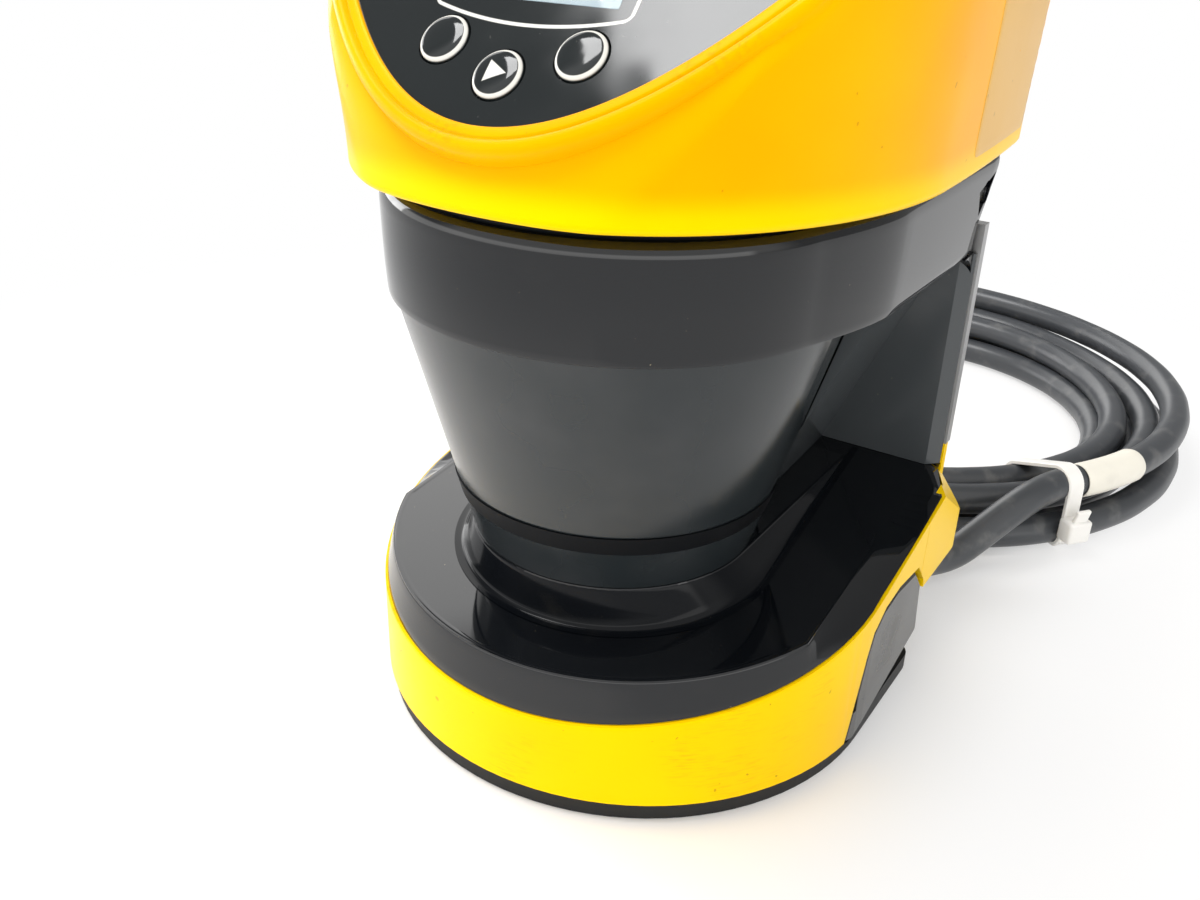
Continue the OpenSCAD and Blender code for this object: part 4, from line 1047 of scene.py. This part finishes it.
def rounded_block(name, size, place, turn_down, bevel=0.5):
    """A small block with rounded edges in the tie's plane, turned about the strap's width."""
    shaped = bmesh.new()
    bmesh.ops.create_cube(shaped, size=1)
    bmesh.ops.scale(shaped, verts=shaped.verts, vec=size)
    bmesh.ops.bevel(shaped, geom=shaped.edges[:], offset=bevel, segments=3, affect="EDGES", profile=0.5)
    c, s = math.cos(turn_down), math.sin(turn_down)
    points = [at_tie(place[0] + v.co.x * c - v.co.z * s, v.co.y, place[1] + v.co.x * s + v.co.z * c)
              for v in shaped.verts]
    faces = [tuple(v.index for v in f.verts) for f in shaped.faces]
    shaped.free()
    return add_piece(name, points, faces, sharp=40)


lock = rounded_block("tie_lock", (5.2, 7.2, 6.4), (94.6, 7.2), 0.0, 0.9)
tail = rounded_block("tie_tail", (1.2, 4.4, 5.6), (95.9, 11.2), math.radians(-14), 0.4)

start, end = 3.2, 17.5                    # where the sleeve lies, in degrees past the tie
middle = np.array([coil_point(a * POINTS_PER_TURN / 360) for a in np.linspace(start, end, 26)])
forward = np.gradient(middle, axis=0)
forward /= np.linalg.norm(forward, axis=1)[:, None]
side = np.cross(forward, [0, 0, 1])
side /= np.linalg.norm(side, axis=1)[:, None]
over = np.cross(side, forward)
turn = np.linspace(0, 2 * math.pi, 40, endpoint=False)
rings = []
for i, (p, a, b) in enumerate(zip(middle, side, over)):
    r = LEAD_D / 2 + 0.55 - (0.25 if i in (0, len(middle) - 1) else 0)
    rings.append([p + r * (math.cos(t) * a + math.sin(t) * b) for t in turn])
closing = (LEAD_D / 2 + 0.05) / (LEAD_D / 2 + 0.3)
rings = [middle[0] + (np.array(rings[0]) - middle[0]) * closing] + rings
rings += [middle[-1] + (np.array(rings[-1]) - middle[-1]) * closing]
sleeve = skin("sleeve", rings, sharp=50)

for piece in (strap, lock, tail):
    wear(piece, "tie_white")
wear(sleeve, "sleeve_white")
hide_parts("cable_tie")
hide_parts("marker_sleeve")

# %% [markdown]
# ## Floor and light
# Polished black shows what stands around it, so the room matters as much as the lamps. The
# floor is plain and pale. One bright box hangs high at the left and a weaker one stands low
# beside it. The world paints a pale horizon, a window behind at the left, and grey walls.


# %% Floor, room and lamp
class Room(Shader):
    """The world's node tree, with places in it given by azimuth and elevation."""

    def __init__(self, name):
        self.world = bpy.data.worlds.new(name)
        self.world.use_nodes = True
        self.tree = self.world.node_tree
        self.tree.nodes.clear()
        way = self.node("ShaderNodeTexCoord")
        x, y, z = (self.node("ShaderNodeSeparateXYZ", None, {0: way}, out=k) for k in range(3))
        degrees = 180 / math.pi
        self.azimuth = self.node("ShaderNodeMath", {"operation": "ARCTAN2"}, {0: x, 1: y * -1}) * degrees
        self.elevation = self.node("ShaderNodeMath", {"operation": "ARCSINE"}, {0: z}) * degrees

    def patch(self, azimuths, elevations, soft=5):
        """1 between two azimuths and two elevations, with soft edges."""
        mask = 1.0
        for field, (low, high) in ((self.azimuth, azimuths), (self.elevation, elevations)):
            mask = self.ramp(field, low - soft, low) * self.ramp(field, high, high + soft, 1.0, 0.0) * mask
        return mask


def ray_kind(shader, *kinds):
    """1 for rays of any of these kinds."""
    path = None
    for kind in kinds:
        seen = shader.node("ShaderNodeLightPath", out=kind)
        path = seen if path is None else path.at_least(seen)
    return path


def floor_paint(name):
    """Pale and lit near the scanner, where its shadow falls, and plain white farther out; to the right it is
    washed most of the way to white, a painted light that thins the scanner's shadow there.
    """
    shader = Shader(name)
    x, y = shader.axis("X"), shader.axis("Y")
    away = (x ** 2 + y ** 2) ** 0.5
    lit = shader.node("ShaderNodeBsdfPrincipled", None, {
        "Base Color": opaque(0.93, 0.925, 0.92), "Roughness": 0.6, "Specular IOR Level": 0.2})
    plain_white = shader.node("ShaderNodeEmission", None, {"Strength": 1.0})
    # to the right the floor is up to 80% white for camera, mirror and transmission rays: painted light over the
    # scanner's shadow
    white = shader.ramp(away, 0.08, 0.34).at_least(shader.ramp(x, 0.03, 0.09) * 0.8)
    white = white * ray_kind(shader, "Is Camera Ray", "Is Glossy Ray", "Is Transmission Ray")
    shader.node("ShaderNodeOutputMaterial", None, {
        0: shader.node("ShaderNodeMixShader", None, {0: white, 1: lit, 2: plain_white})})
    return shader.material


floor_mesh = bpy.data.meshes.new("floor")
floor_mesh.from_pydata([(-3, -3, 0), (3, -3, 0), (3, 3, 0), (-3, 3, 0)], [], [(0, 1, 2, 3)])
floor = bpy.data.objects.new("floor", floor_mesh)
floor.location = (0, 0, -0.0002)
floor.data.materials.append(floor_paint("floor_paint"))
bpy.context.scene.collection.objects.link(floor)


def soft_lamp(name, azimuth, elevation, distance, size, watts):
    """A square lamp that looks at the middle of the scanner."""
    lamp = bpy.data.objects.new(name, bpy.data.lights.new(name, "AREA"))
    lamp.data.shape, lamp.data.size, lamp.data.energy = "SQUARE", size, watts
    a, e = math.radians(azimuth), math.radians(elevation)
    away = Vector((math.sin(a) * math.cos(e), -math.cos(a) * math.cos(e), math.sin(e)))
    lamp.location = Vector((0, -0.04, 0.13)) + away * distance
    lamp.rotation_mode = "QUATERNION"
    lamp.rotation_quaternion = away.to_track_quat("Z", "Y")
    bpy.context.scene.collection.objects.link(lamp)
    return lamp


soft_lamp("high_box", -66, 68, 1.2, 0.5, 9)
soft_lamp("left_box", -100, 12, 1.0, 0.5, 3.5)

room = Room("room")
horizon = room.patch((-95, 85), (-20, 9), 6) * 1.5
pale_wall = room.patch((-45, 95), (9, 90), 22) * 0.8
window_behind = room.patch((-152, -108), (10, 43), 4) * 2.5
glow = horizon + pale_wall + window_behind + 0.4
camera_white = ray_kind(room, "Is Camera Ray", "Is Transmission Ray")
strength = room.node("ShaderNodeMix", {"data_type": "FLOAT"}, {0: camera_white, 2: glow, 3: 1.0})
room.node("ShaderNodeOutputWorld", None, {
    0: room.node("ShaderNodeBackground", None, {"Color": opaque(1, 0.995, 0.985), "Strength": strength})})
bpy.context.scene.world = room.world
bpy.context.scene.view_settings.view_transform = "Standard"
